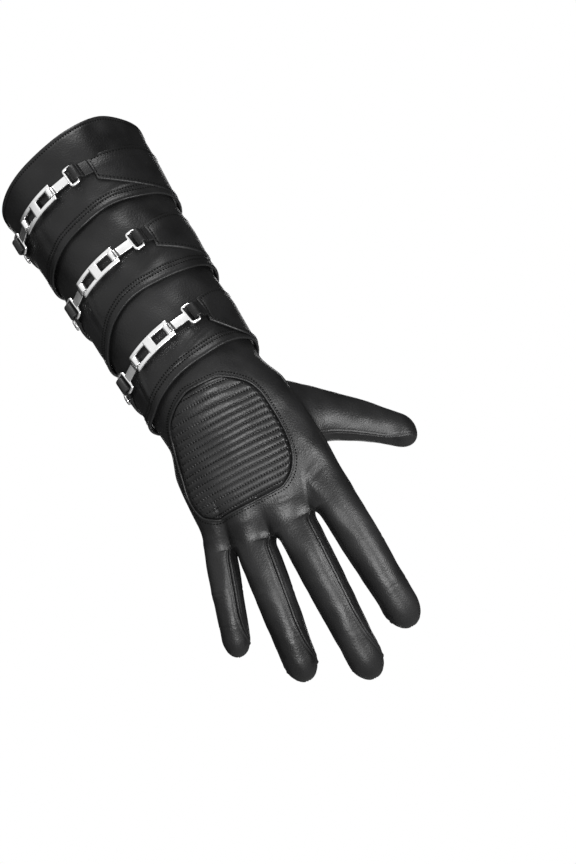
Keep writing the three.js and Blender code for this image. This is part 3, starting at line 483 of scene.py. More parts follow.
def strip_start(f, k):
    """Where a finger's edge begins: along the hand, and along the finger itself."""
    if k < 0 or k >= len(CROTCHES):
        return FINGERS[f][2] * HAND_LENGTH, 0.0
    s = CROTCHES[k][2] * HAND_LENGTH
    place = hand_place(CROTCHES[k][1] * HAND_BREADTH, s, FINGERS[f][3] * HAND_THICKNESS)
    return s, float(np.dot(place - TUBES[f][0], TUBES[f][2]))


STARTS = [(strip_start(f, f - 1), strip_start(f, f)) for f in range(len(FINGERS))]


def raw_strip(f, side, step, share):
    """A finger's strip before its edges are drawn together: step 0 to 1 is the hand, 1 to 2 the finger."""
    step, share = np.broadcast_arrays(step, share)
    (left_s, left_u), (right_s, right_u) = STARTS[f]
    start_s, start_u = mix(left_s, right_s, share), mix(left_u, right_u, share)
    on_finger = np.clip(step - 1, 0, 1)
    u = np.where(step < 1, start_u - (1 - step) * start_s, mix(start_u, TUBES[f][4], on_finger))
    seam = seam_at(on_finger)
    low = -math.pi / 2 if f == 0 else -seam
    high = math.pi / 2 if f == len(FINGERS) - 1 else seam
    turned = mix(low, high, share)
    turned = (turned if side > 0 else math.pi - turned) - seam_turn(f, on_finger)
    tube_point, tube_normal, _ = finger_tube(f, u, turned)
    s = np.minimum(step, 1) * start_s
    hand_point, hand_normal = plain_hand(s, mix(STRIP_EDGES[f], STRIP_EDGES[f + 1], share), side)
    knuckle = np.where(step < 1, smooth(1 - (start_s - s) / KNUCKLE_FADE), 1)[..., None]
    return mix(hand_point, tube_point, knuckle), unit(mix(hand_normal, tube_normal, knuckle))


def shared_edge(k, side, step):
    return (raw_strip(k, side, step, 1.0)[0] + raw_strip(k + 1, side, step, 0.0)[0]) / 2


def slit_open(f, step):
    """How far open the slit is: 0 at the crotch and 1 where it has its full width, on a round curve."""
    run = np.clip((step - 1) * TUBES[f][4] / CROTCH_ROUND, 0, 1)
    return np.sqrt(1 - (1 - run) ** 2)


def strip(f, side, step, share):
    """Point and normal on one finger's strip, its edges drawn to its neighbours' above the crotches."""
    step, share = np.broadcast_arrays(np.asarray(step, float), np.asarray(share, float))
    point, normal = raw_strip(f, side, step, share)
    quick = 1 - slit_open(f, step)
    slow = 1 - smooth((step - 1) * TUBES[f][4] / CROTCH_EASE)
    drawn = np.zeros(step.shape)
    up = hand_frame(HAND_LENGTH)[2] * side
    fade = np.where(step < 1, smooth(1 - (1 - step) * HAND_LENGTH / KNUCKLE_FADE), 1)
    filled = VALLEY_FILL * fade * smooth((1 - step) * HAND_LENGTH / VALLEY_RUN)
    for k, to_edge in ((f, share), (f - 1, 1 - share)):
        if 0 <= k < len(CROTCHES):
            pull = shared_edge(k, side, step) - raw_strip(f, side, step, 1.0 if k == f else 0.0)[0]
            pull = pull + up * filled[..., None]
            near = smooth((to_edge - 0.62) / 0.38)
            weight = to_edge**2 * (quick * near + slow * (1 - near))
            point = point + pull * weight[..., None]
            drawn = drawn + weight
    return point, unit(mix(normal, up, 0.8 * (drawn * fade)[..., None]))


def back_surface(s, across, lift):
    """Point and normal on the back of the hand at a place along and across it."""
    s, across = np.broadcast_arrays(np.asarray(s, float), np.asarray(across, float))
    half, middle = hand_width(s)
    angle = np.arcsin(np.clip((across - middle) / half, -1, 1))
    point = normal = None
    for f in range(len(FINGERS)):
        share = np.clip((angle - STRIP_EDGES[f]) / (STRIP_EDGES[f + 1] - STRIP_EDGES[f]), 0, 1)
        start_s = mix(STARTS[f][0][0], STARTS[f][1][0], share)
        here, out = strip(f, 1, s / start_s, share)
        inside = (angle >= STRIP_EDGES[f])[..., None]
        point = here if point is None else np.where(inside, here, point)
        normal = out if normal is None else np.where(inside, out, normal)
    return point + normal * np.asarray(lift)[..., None], normal


def chain_path(chain, distance, lift):
    """Points, ways on, normals, ways across and angles on a chain, at distances from its first bracket."""
    distance = np.atleast_1d(np.asarray(distance, float))
    angles = np.radians(np.linspace(chain["at"] + 60, chain["at"] - 120, 721))
    start = -CUFF_LENGTH * chain["along"]
    run = np.zeros(len(angles))
    for _ in range(2):
        ground = cuff_surface(angles, start - chain["slope"] * run, 0 * angles)[0][:, :2]
        lengths = run_along(ground)
        run = lengths - np.interp(-math.radians(chain["at"]), -angles, lengths)

    def place(at):
        angle = np.interp(at, run, angles)
        return band_surface(angle, start - chain["slope"] * at, np.full(at.shape, float(lift)))

    point, normal = place(distance)
    along = unit(place(distance + 0.05)[0] - place(distance - 0.05)[0])
    level = unit(normal - along * dot(normal, along))
    return point, along, level, np.cross(level, along), np.interp(distance, run, angles)


def grid_faces(rows, columns, wrap_rows=False, wrap_columns=False, start=0):
    """Four corners of every cell of a grid, which may close on itself either way."""
    down = np.arange(rows if wrap_rows else rows - 1)
    over = np.arange(columns if wrap_columns else columns - 1)
    i, j = np.meshgrid(down, over, indexing="ij")
    i2, j2 = (i + 1) % rows, (j + 1) % columns
    corners = [i * columns + j, i2 * columns + j, i2 * columns + j2, i * columns + j2]
    return start + np.stack(corners, -1).reshape(-1, 4)


class Pieces:
    """Collects grids of points in millimetres into one mesh."""

    def __init__(self):
        self.points, self.faces, self.slots, self.count = [], [], [], 0

    def grid(self, points, wrap_rows=False, wrap_columns=False, slot=0):
        rows, columns = points.shape[:2]
        faces = grid_faces(rows, columns, wrap_rows, wrap_columns, self.count)
        self.points.append(points.reshape(-1, 3))
        self.faces.append(faces)
        self.slots.append(np.broadcast_to(np.asarray(slot), len(faces)).astype(int))
        self.count += rows * columns
        return self

    def many(self, points):
        """Many small tubes of one shape at once: pieces, rows, columns, xyz."""
        count, rows, columns = points.shape[:3]
        faces = grid_faces(rows, columns, wrap_columns=True)
        offsets = self.count + np.arange(count) * rows * columns
        self.points.append(points.reshape(-1, 3))
        self.faces.append((faces[None] + offsets[:, None, None]).reshape(-1, 4))
        self.slots.append(np.zeros(count * len(faces), int))
        self.count += count * rows * columns
        return self

    def build(self, name, materials, nodes, slot, wall=0.0, outward=None):
        """Makes the object: merged poles and seams, faces outwards, smooth, and a wall where it needs one."""
        points = np.concatenate(self.points) * METRES
        faces = np.concatenate(self.faces)
        mesh = bpy.data.meshes.new(name)
        mesh.vertices.add(len(points))
        mesh.vertices.foreach_set("co", points.ravel())
        mesh.loops.add(faces.size)
        mesh.loops.foreach_set("vertex_index", faces.ravel())
        mesh.polygons.add(len(faces))
        mesh.polygons.foreach_set("loop_start", np.arange(0, faces.size, 4))
        for material in materials:
            mesh.materials.append(material)
        mesh.polygons.foreach_set("material_index", np.concatenate(self.slots))
        mesh.update(calc_edges=True)
        mesh.validate()
        work = bmesh.new()
        work.from_mesh(mesh)
        bmesh.ops.remove_doubles(work, verts=work.verts, dist=2e-6)
        bmesh.ops.dissolve_degenerate(work, edges=work.edges, dist=1e-7)
        bmesh.ops.recalc_face_normals(work, faces=work.faces)
        if outward is not None:
            middle = Vector(outward) * METRES
            facing = 0
            for face in work.faces:
                facing += face.normal.dot(face.calc_center_median() - middle) * face.calc_area()
            if facing < 0:
                bmesh.ops.reverse_faces(work, faces=work.faces)
        work.to_mesh(mesh)
        work.free()
        mesh.polygons.foreach_set("use_smooth", np.ones(len(mesh.polygons), bool))
        mesh.update()
        piece = bpy.data.objects.new(name, mesh)
        bpy.context.collection.objects.link(piece)
        if wall:
            thick = piece.modifiers.new("wall", "SOLIDIFY")
            thick.thickness = wall * METRES
            thick.offset = -1
            thick.use_even_offset = False
            if len(materials) > 1:
                thick.material_offset = 1
        if nodes:
            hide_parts(*nodes)
        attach(piece, "root")
        return piece

    def dress(self, node, kind, materials, slot, **shape):
        """Makes the piece that stands for a node, named after it and its kind."""
        return self.build(f"{node}_{kind}", materials, [node], slot, **shape)


def circle(radius, sides):
    turn = np.linspace(0, 2 * math.pi, sides, endpoint=False)
    return np.stack([radius * np.cos(turn), radius * np.sin(turn)], -1)


def rounded_box(width, height, corner, sides=4):
    """A rectangle with round corners: a quarter circle at each."""
    corner = min(corner, width / 2 - 0.01, height / 2 - 0.01)
    turn = np.linspace(0, math.pi / 2, sides)
    points = []
    for quarter, (x, y) in enumerate(((1, 1), (-1, 1), (-1, -1), (1, -1))):
        angle = turn + quarter * math.pi / 2
        centre = (x * (width / 2 - corner), y * (height / 2 - corner))
        points.append(np.stack([centre[0] + corner * np.cos(angle), centre[1] + corner * np.sin(angle)], -1))
    return np.concatenate(points)


def sweep(path, across, up, section, closed=False, bevel=0.18):
    """A section carried along a path; open ends close over a small bevel to their middle."""
    path, across, up = (np.asarray(v, float) for v in (path, across, up))
    sizes = np.ones(len(path))
    if not closed:
        first, last = unit(path[0] - path[1]), unit(path[-1] - path[-2])
        path = np.concatenate([[path[0] + first * bevel] * 2, path, [path[-1] + last * bevel] * 2])
        across = np.concatenate([across[:1]] * 2 + [across] + [across[-1:]] * 2)
        up = np.concatenate([up[:1]] * 2 + [up] + [up[-1:]] * 2)
        sizes = np.concatenate([[0, 0.82], sizes, [0.82, 0]])
    section = section[None] * sizes[:, None, None]
    return path[:, None] + section[..., :1] * across[:, None] + section[..., 1:] * up[:, None]


def round_route(corners, corner, steps=6):
    """A closed route in a plane through corners, each rounded by an arc-like curve."""
    corners = np.asarray(corners, float)
    route = []
    for i, here in enumerate(corners):
        before, after = corners[i - 1], corners[(i + 1) % len(corners)]
        a = here + unit(before - here) * corner
        b = here + unit(after - here) * corner
        t = np.linspace(0, 1, steps)[:, None]
        route.append((1 - t) ** 2 * a + 2 * t * (1 - t) * here + t**2 * b)
    return np.concatenate(route)


def stitches(path, normal, pitch, length, thread):
    """Stitches along a path: each a thread that arches out of the leather and dives back in."""
    path, normal = np.asarray(path, float), np.asarray(normal, float)
    run = run_along(path)
    count = max(1, int(run[-1] / pitch))
    t = np.array([-1, -0.55, 0, 0.55, 1])
    at = ((np.arange(count) + 0.5) * run[-1] / count)[:, None] + t * length / 2
    point = at_runs(at, run, path)
    out = unit(at_runs(at, run, normal))
    way = unit(point[:, -1:] - point[:, :1])
    side = np.cross(out, way)
    radius = thread / 2 * np.sqrt(np.clip(1.02 - t**2, 0.0, 1))
    rise = (thread * 0.55 + STITCH_SINK) * (1 - t**2) - STITCH_SINK
    turn = np.linspace(0, 2 * math.pi, 6, endpoint=False)
    centre = point + out * rise[:, None]
    ring = np.cos(turn)[:, None] * out[:, :, None] + np.sin(turn)[:, None] * side[:, :, None]
    return centre[:, :, None] + ring * radius[None, :, None, None]


def add_node(tree, kind, inputs=None, **settings):
    """A node with its settings; each of its inputs gets a link or a value."""
    node = tree.nodes.new(f"ShaderNode{kind}")
    for key, value in settings.items():
        setattr(node, key, value)
    for key, value in (inputs or {}).items():
        if isinstance(value, bpy.types.NodeSocket):
            tree.links.new(value, node.inputs[key])
        else:
            node.inputs[key].default_value = value
    return node


def noise(tree, scale, detail=2, **settings):
    """A noise's outputs, in the piece's own coordinates."""
    place = add_node(tree, "TexCoord").outputs["Object"]
    return add_node(tree, "TexNoise", {"Vector": place, "Scale": scale, "Detail": detail}, **settings).outputs


def ramp(tree, mask, low, high, from_low=0.3, from_high=0.7, **settings):
    """Turns a mask into a value between two limits."""
    limits = {"Value": mask, "From Min": from_low, "From Max": from_high, "To Min": low, "To Max": high}
    return add_node(tree, "MapRange", limits, **settings).outputs["Result"]


def leather_grain():
    """Node group: fine pebbled grain, soft creases and patchy sheen of smooth glove leather."""
    if "leather_grain" in bpy.data.node_groups:
        return bpy.data.node_groups["leather_grain"]
    group = bpy.data.node_groups.new("leather_grain", "ShaderNodeTree")
    for way, names in (("INPUT", ("Grain Size", "Crease")), ("OUTPUT", ("Height", "Sheen Patches"))):
        for name in names:
            group.interface.new_socket(name=name, in_out=way, socket_type="NodeSocketFloat")
    source = group.nodes.new("NodeGroupInput").outputs
    result = group.nodes.new("NodeGroupOutput").inputs
    place = add_node(group, "TexCoord").outputs["Object"]
    shifts = {"Factor": 0.0016, "A": place, "B": noise(group, 160)["Color"]}
    shift = add_node(group, "Mix", shifts, data_type="RGBA", blend_type="LINEAR_LIGHT")
    sizes_of_cells = {"Vector": shift.outputs["Result"], "Scale": source["Grain Size"], "Smoothness": 0.6}
    cells = add_node(group, "TexVoronoi", sizes_of_cells, feature="SMOOTH_F1")
    pores = {0: noise(group, 2600, 3)["Fac"], 1: 0.35, 2: cells.outputs["Distance"]}
    pebble = add_node(group, "Math", pores, operation="MULTIPLY_ADD")
    ridges = noise(group, 55, 4, noise_type="RIDGED_MULTIFRACTAL")["Fac"]
    lines = add_node(group, "Math", {0: ridges, 1: source["Crease"]}, operation="MULTIPLY")
    height = add_node(group, "Math", {0: pebble.outputs["Value"], 1: lines.outputs["Value"]}, operation="ADD")
    group.links.new(height.outputs["Value"], result["Height"])
    group.links.new(noise(group, 38, 5)["Fac"], result["Sheen Patches"])
    return group


def new_material(name, values):
    """A material, its node tree and its shader's inputs, of which some get values."""
    material = bpy.data.materials.new(name)
    material.use_nodes = True
    shader = material.node_tree.nodes["Principled BSDF"].inputs
    for key, value in values.items():
        shader[key].default_value = value
    return material, material.node_tree, shader


def tint(tree, shader, mask, colour, dark, light):
    """Colours the shader by a mask, from a darker to a lighter shade of one colour."""
    low, high = ((*[share * v for v in colour], 1) for share in (dark, light))
    shade = add_node(tree, "Mix", {"Factor": mask, "A": low, "B": high}, data_type="RGBA")
    tree.links.new(shade.outputs["Result"], shader["Base Color"])


def bump(tree, shader, height, distance, strength=1):
    """Gives the shader a fine relief."""
    relief = add_node(tree, "Bump", {"Height": height, "Distance": distance, "Strength": strength})
    tree.links.new(relief.outputs["Normal"], shader["Normal"])


def leather_material(name, looks, grain_size, crease):
    """Smooth black glove leather: satin and finely grained; its colour is painted lighter in random patches
    as a painted sheen, and those patches are also a little rougher.
    """
    material, tree, shader = new_material(name, {"Specular IOR Level": 0.33})
    values = {"Grain Size": grain_size, "Crease": crease}
    grain = add_node(tree, "Group", values, node_tree=leather_grain()).outputs
    sheen_patches = grain["Sheen Patches"]
    # Painted sheen: the colour runs from a darker to a lighter shade of the leather by the sheen patches
    tint(tree, shader, ramp(tree, sheen_patches, 0, 1), looks.leather, 0.6, 1.5)
    satin = ramp(tree, sheen_patches, looks.roughness - 0.05, looks.roughness + 0.08)
    tree.links.new(satin, shader["Roughness"])
    bump(tree, shader, grain["Height"], looks.grain, 0.6)
    return material


def fabric_material(name, looks):
    """Brushed lining: matt, with a soft nap."""
    material, tree, shader = new_material(name, {"Roughness": 0.95, "Sheen Weight": 0.3})
    nap = noise(tree, 1400, 4)["Fac"]
    tint(tree, shader, nap, looks.lining, 0.5, 1.4)
    bump(tree, shader, nap, 0.0003)
    return material


def thread_material(name, looks):
    """Twisted sewing thread: finely ribbed, with a slight sheen."""
    material, tree, shader = new_material(name, {"Roughness": 0.8, "Specular IOR Level": 0.1})
    twist = noise(tree, 3800)["Fac"]
    tint(tree, shader, twist, looks.thread, 0.6, 1.4)
    bump(tree, shader, twist, 0.00006)
    return material


def metal_material(name, looks, roughness):
    """Polished plate: bright, with faint wear and fine scratches."""
    material, tree, shader = new_material(name, {"Metallic": 1})
    wear = noise(tree, 220, 5)["Fac"]
    tint(tree, shader, wear, looks.metal, 0.9, 1)
    tree.links.new(ramp(tree, wear, roughness - 0.04, roughness + 0.1), shader["Roughness"])
    bump(tree, shader, noise(tree, 2400)["Fac"], 0.00001)
    return material


def length_property(name, description, default):
    return FloatProperty(name=name, description=description, default=default, unit="LENGTH")


def colour_property(name, description, default):
    return FloatVectorProperty(name=name, description=description, default=default, subtype="COLOR")


class GloveSizes(bpy.types.PropertyGroup):
    hem_puff: length_property("Hem puff", "How far a band's hem stands out", 0.0009)
    hem_radius: length_property("Hem radius", "Radius of the folded edge", 0.0009)
    seam_depth: length_property("Seam depth", "Depth of the valley at a seam", 0.0012)
    seam_width: length_property("Seam width", "Half width of the valley at a seam", 0.0004)
    seam_bead: length_property("Seam bead", "Height of the bead beside a seam", 0.00045)
    stitch_pitch: length_property("Stitch pitch", "From one stitch to the next", 0.0017)
    stitch_length: length_property("Stitch length", "Length of thread that shows", 0.0011)
    thread: length_property("Thread", "Thickness of the thread", 0.0007)
    quilt_pitch: length_property("Quilt pitch", "From one row of quilting to the next", 0.0037)
    quilt_rise: length_property("Quilt rise", "Height of a rib over its grooves", 0.0011)
    patch_pad: length_property("Patch padding", "Thickness of the padding", 0.0013)
    piping: length_property("Piping", "Thickness of the piping", 0.0016)
    wire: length_property("Wire", "Thickness of the brackets' wire", 0.0017)
    link: length_property("Link", "Thickness of the links", 0.0016)
    around: IntProperty(name="Around", description="Steps round the cuff", default=420)


class GloveLooks(bpy.types.PropertyGroup):
    leather: colour_property("Leather", "Colour of the leather", (0.0065, 0.0065, 0.0067))
    lining: colour_property("Lining", "Colour of the lining", (0.010, 0.010, 0.011))
    thread: colour_property("Thread", "Colour of the thread", (0.002, 0.002, 0.002))
    metal: colour_property("Metal", "Colour of the links", (0.95, 0.95, 0.95))
    roughness: FloatProperty(
        name="Leather roughness", description="Roughness of the leather", default=0.4, subtype="FACTOR"
    )
    grain: length_property("Grain height", "Height of the leather's grain", 0.00014)


def sizes():
    """The sizes in millimetres."""
    group = bpy.context.scene.glove_sizes
    names = [name for name in group.bl_rna.properties.keys() if name not in ("rna_type", "name", "around")]
    return {name: getattr(group, name) / METRES for name in names}


def shared(name, make, *values):
    """The material of a name, made when the first piece asks for it."""
    return bpy.data.materials.get(name) or make(name, bpy.context.scene.glove_looks, *values)


def shell_leather():
    return shared("glove_leather", leather_material, 1050, 0.35)


def strap_leather():
    return shared("glove_strap_leather", leather_material, 1100, 0.3)


def lining():
    return shared("glove_lining", fabric_material)


def lined_leather():
    return [shell_leather(), lining()]


def sewing_thread():
    return shared("glove_thread", thread_material)


def plate():
    return shared("glove_plate", metal_material, 0.2)


def hem_relief(above_hem, below_rim, index):
    """The roll at a hem, the two grooves that its stitching pulls in, and the rim's single groove."""
    relief = 0.35 * hill(above_hem - 1.6, 1.5)
    for row in HEM_ROWS:
        relief = relief - 0.32 * hill(above_hem - row, GROOVE_WIDTH)
    relief = relief + 0.2 * hill(above_hem - sum(HEM_ROWS) / 2, 0.7)
    if index == 0:
        relief = relief - 0.3 * hill(below_rim - RIM_ROW, GROOVE_WIDTH) + 0.15 * hill(below_rim - 1.2, 0.8)
    return relief


def cuff_relief(angle, z, point, index):
    """Relief of a band's outer face: its folds and gentle unevenness, quiet near its edges."""
    lower, upper = edge_height(BANDS[index][1], angle), upper_edge(index, angle)
    table = [(math.radians(at) * FOLD_RADIUS, *rest) for at, *rest in CUFF_FOLDS]
    turned = np.degrees(angle)
    relief = sum(folds(np.radians(turned + turn) * FOLD_RADIUS, z, table) for turn in (-360, 0, 360))
    relief = relief + undulation(point, 46, 0.45, 11) + undulation(point, 17, 0.2, 12)
    quiet = smooth((z - lower) / 7) * 0.8 + 0.2
    return relief * quiet * smooth((upper - z) / 5)


def band_lift(index, angle, z, s):
    """How far a band's outer face stands off the cuff's outline, with all its relief."""
    lift = band_raise(index, angle, z, s["hem_puff"])
    plain = cuff_surface(angle, z, lift)[0]
    lower, upper = edge_height(BANDS[index][1], angle), upper_edge(index, angle)
    return lift + hem_relief(z - lower, upper - z, index) + cuff_relief(angle, z, plain, index)


def cuff_band(index, around):
    """A closed profile round the cuff: down the outside, round the hem, up the inside, round the top."""
    s = sizes()
    angle = np.linspace(-math.pi, math.pi, around, endpoint=False)[None]
    upper, lower = upper_edge(index, angle), edge_height(BANDS[index][1], angle)
    r = s["hem_radius"]
    near_top = mix(0, TOP_ZONE, np.linspace(0, 1, 18))[:, None]
    near_hem = mix(HEM_ZONE, 0, np.linspace(0, 1, 26))[:, None]
    between = np.linspace(0, 1, 52)[1:-1, None]
    middle = mix(upper - r - TOP_ZONE, lower + r + HEM_ZONE, between)
    rows = [upper - r - near_top, middle, lower + r + near_hem]
    z = np.concatenate([np.broadcast_to(row, (row.shape[0], around)) for row in rows])
    angles = np.broadcast_to(angle, z.shape)
    lift = band_lift(index, angles, z, s)
    outer = cuff_surface(angles, z, lift)[0]
    turn = np.linspace(0, math.pi, 9)[1:-1, None]
    hem_lift = lift[-1:] - r + r * np.cos(turn)
    hem = cuff_surface(np.broadcast_to(angle, hem_lift.shape), lower + r - r * np.sin(turn), hem_lift)[0]
    up = mix(lower + r, upper - r, np.linspace(0, 1, 40)[:, None])
    tuck = np.minimum(0, band_raise(index, np.broadcast_to(angle, up.shape), up, s["hem_puff"])) - WALL
    wanted = lift[-1:] - 2 * r
    inner_lift = mix(wanted, tuck, smooth((up - lower) / TOP_ZONE))
    inner_lift = mix(inner_lift, lift[:1] - 2 * r, smooth(1 - (upper - up) / TOP_ZONE))
    inner = cuff_surface(np.broadcast_to(angle, up.shape), up, inner_lift)[0]
    top_lift = lift[:1] - r - r * np.cos(turn)
    top = cuff_surface(np.broadcast_to(angle, top_lift.shape), upper - r + r * np.sin(turn), top_lift)[0]
    profile = np.concatenate([outer, hem, inner, top])
    inside = len(outer) + len(hem)
    lined = np.zeros(len(profile), int)
    lined[inside + 2 : inside + len(inner) - 3] = 1
    slots = np.repeat(lined, around)
    return Pieces().grid(profile, wrap_rows=True, wrap_columns=True, slot=slots)


class GLOVE_OT_cuff(bpy.types.Operator):
    """The three bands of the cuff, each a folded sheet whose hem overlaps the next band"""

    bl_idname = "glove.cuff"
    bl_label = "Cuff bands"

    def execute(self, context):
        around = context.scene.glove_sizes.around
        for index, (name, _) in enumerate(BANDS):
            cuff_band(index, around).dress(name, "leather", lined_leather(), "shell_leather")
        return {"FINISHED"}


def seam_lip(from_seam, s):
    """A seam's edge: it dives into the valley, with a bead beside it and the line of its stitches."""
    bead = s["seam_bead"] * hill(from_seam - BEAD_INSET, BEAD_WIDTH)
    groove = GROOVE_DEPTH * hill(from_seam - GROOVE_INSET, GROOVE_WIDTH)
    return bead - s["seam_depth"] * hill(from_seam, s["seam_width"]) - groove


def from_edges(points):
    """Distance along each row of a grid from its first and from its last point."""
    lengths = np.linalg.norm(np.diff(points, axis=1), axis=2)
    run = np.concatenate([np.zeros((len(points), 1)), np.cumsum(lengths, axis=1)], axis=1)
    return run, run[:, -1:] - run


def strip_steps(f):
    """Steps along a strip: the hand, the round of the crotch, the finger and its round tip."""
    length, width = TUBES[f][4], TUBES[f][5]
    hand = 1 - 1.1 * (1 - np.linspace(0, 1, 90, endpoint=False)) ** 1.2
    round_end = CROTCH_ROUND / length
    crotch = 1 + round_end * np.linspace(0, 1, 14, endpoint=False) ** 2
    tip_start = 1 - FINGER_CAP * width / length
    finger = 1 + np.linspace(round_end, tip_start, 70, endpoint=False)
    tip = 1 + mix(tip_start, 1, np.sin(np.linspace(0, math.pi / 2, 20)))
    return np.concatenate([hand, crotch, finger, tip])


def edge_spaced(count):
    """Shares from 0 to 1 that lie closer together near both ends."""
    t = np.linspace(0, 1, count)
    return mix(t, 0.5 - 0.5 * np.cos(math.pi * t), 0.75)


def finger_relief(f, side, step, share, point):
    """Folds where the finger's joints bend, and knuckles that stand a little proud."""
    on = np.clip(step - 1, 0, 1)
    across = share - 0.5
    relief = np.zeros(np.broadcast(step, share).shape)
    for place, size in JOINTS:
        bow = 0.02 * across**2 * 4
        for shift, rise in JOINT_FOLDS:
            deep = rise * size * (1.7 if side < 0 else 0.3)
            relief = relief + deep * hill(on - place - shift - bow, 0.011) * hill(across, 0.4)
        if side > 0:
            relief = relief + 0.35 * size * hill(on - place, 0.07) * hill(across, 0.35)
    soft = undulation(point, 21, 0.14, 20) + undulation(point, 8, 0.04, 30)
    return relief * smooth(on / 0.12) + soft


def hand_relief(side, point):
    """Folds of the back or the palm, by place across and along the hand."""
    along = -(point[..., 2] + CUFF_LENGTH) / math.cos(math.radians(WRIST_FLEXION))
    table = BACK_FOLDS if side > 0 else PALM_FOLDS
    return folds(point[..., 0], along, table)


def join_strips(near, far, step, columns=9, rounds=30):
    """Joins two neighbouring strips above their crotch and rounds the leather off where they meet."""
    rows = np.searchsorted(step, 1) + 1
    free = 0.5 * smooth((1 - step[:rows]) * HAND_LENGTH / 8)[:, None, None]
    border = (near[:rows, -1:] + far[:rows, :1]) / 2
    across = np.concatenate([near[:rows, -columns:-1], border, far[:rows, 1:columns]], axis=1)
    for _ in range(rounds):
        across[:, 1:-1] = mix(across[:, 1:-1], (across[:, :-2] + across[:, 2:]) / 2, free)
    near[:rows, -columns:] = across[:, :columns]
    far[:rows, :columns] = across[:, columns - 1 :]


def hand_panel(side):
    """The four strips of the back or the palm, with seam lips along the fingers and the hand's sides."""
    s = sizes()
    sheets = []
    for f in range(len(FINGERS)):
        step = strip_steps(f)[:, None]
        share = edge_spaced(34)[None]
        point, normal = strip(f, side, step, share)
        from_left, from_right = from_edges(point)
        steps = np.broadcast_to(step, from_left.shape)
        along = from_edges(point.transpose(1, 0, 2))[0].T
        before = np.clip(along[np.searchsorted(step[:, 0], 1)] - along, 0, None)
        left = from_left if f == 0 else np.hypot(from_left, before)
        right = from_right if f == len(FINGERS) - 1 else np.hypot(from_right, before)
        lift = seam_lip(left, s) + seam_lip(right, s)
        lift = lift + finger_relief(f, side, step, share, point)
        lift = lift + FOLD_SHARE * hand_relief(side, point) * smooth((1.08 - steps) / 0.1)
        sheets.append(point + normal * lift[..., None])
    for f in range(1, len(sheets)):
        join_strips(sheets[f - 1], sheets[f], strip_steps(f))
    pieces = Pieces()
    for sheet in sheets:
        pieces.grid(sheet)
    return pieces


class GLOVE_OT_hand(bpy.types.Operator):
    """The back and the palm of the hand, each one piece of leather with its four finger strips"""

    bl_idname = "glove.hand"
    bl_label = "Hand panels"

    def execute(self, context):
        sheet = {"wall": HAND_SHEET, "outward": HAND_INSIDE}
        for name, side in (("back_panel", 1), ("palm_panel", -1)):
            hand_panel(side).dress(name, "leather", lined_leather(), "shell_leather", **sheet)
        return {"FINISHED"}


def fourchette(k):
    """The strip between two fingers: up one side, round the crotch and down the other."""
    s = sizes()
    pieces = Pieces()
    height = edge_spaced(15)[None]
    for f in (k, k + 1):
        steps = strip_steps(f)
        step = steps[(steps >= 1) & (steps < 2 - FOURCHETTE_SHORT)][:, None]
        wall_of = {}
        for g in (k, k + 1):
            start = STARTS[g][1][1] if g == k else STARTS[g][0][1]
            towards = 1 if g == k else -1
            seam = seam_at(step - 1)
            level = towards * mix(seam, math.pi - seam, height) - seam_turn(g, step - 1)
            u = np.broadcast_to(mix(start, TUBES[g][4], step - 1), level.shape)
            wall_of[g] = finger_tube(g, u, level)
        open_ = slit_open(f, step)[..., None]
        own, normal, ahead = wall_of[f]
        shared = (wall_of[k][0] + wall_of[k + 1][0]) / 2
        point = mix(own, shared, 1 - open_)
        normal = unit(normal * open_ + ahead * (1 - open_))
        first, last = from_edges(point)
        lift = seam_lip(first, s) + seam_lip(last, s) + undulation(point, 14, 0.12, 40 + f)
        pieces.grid(point + normal * lift[..., None])
    return pieces


class GLOVE_OT_fourchettes(bpy.types.Operator):
    """The strips of leather between the fingers"""

    bl_idname = "glove.fourchettes"
    bl_label = "Fourchettes"

    def execute(self, context):
        for k, (name, _, _) in enumerate(CROTCHES):
            fourchette(k).dress(name, "leather", lined_leather(), "shell_leather")
        return {"FINISHED"}


# The set-in seam round the thumb's root: its middle and half sizes along the hand and round its girth
THUMB_SEAM = {"along": 44, "half_along": 25, "girth": 112, "half_girth": 30}
# Its lengthwise seams: their angles, how far they turn towards the tip, and how far the leather stands out
THUMB_SEAMS = ((46, -34, 1.5), (226, 0, 0.6))


def thumb_axes():
    distal, back = (v[0] for v in hand_frame(np.array([HAND_LENGTH]))[1:])
    across, along, rise = THUMB_DIRECTION
    direction = unit(np.array([across, 0, 0]) + distal * along + back * rise)
    side = unit(distal - direction * np.dot(distal, direction))
    sizes_of_hand = (HAND_BREADTH, HAND_LENGTH, HAND_THICKNESS)
    root = hand_place(*(share * size for share, size in zip(THUMB_ROOT, sizes_of_hand)))
    return root, direction, side, np.cross(side, direction), distal, back


def thumb_tube(share, angle):
    """A bowed tube with a round tip; the angle runs from the back of the hand towards the fingers."""
    root, direction, side, upward, distal, back = thumb_axes()
    cap_share = THUMB_CAP * THUMB_WIDTH / THUMB_LENGTH
    into_cap = np.clip((share - 1 + cap_share) / cap_share, 0, 1)
    cap = np.sqrt(1 - into_cap**2)
    bow = (4 * share * (1 - share) * THUMB_LENGTH)[..., None]
    centre = root + direction * (share * THUMB_LENGTH)[..., None]
    centre = centre + (np.array([THUMB_BOW[0], 0, 0]) + distal * THUMB_BOW[1] + back * THUMB_BOW[2]) * bow
    half_width = read(THUMB_SECTIONS, "width", share) * THUMB_WIDTH / 2 * cap
    half_depth = read(THUMB_SECTIONS, "depth", share) * THUMB_WIDTH / 2 * cap
    out = side * np.sin(angle)[..., None] + upward * np.cos(angle)[..., None]
    point = centre + side * (half_width * np.sin(angle))[..., None]
    point = point + upward * (half_depth * np.cos(angle))[..., None]
    return point, unit(out * cap[..., None] + direction * into_cap[..., None])


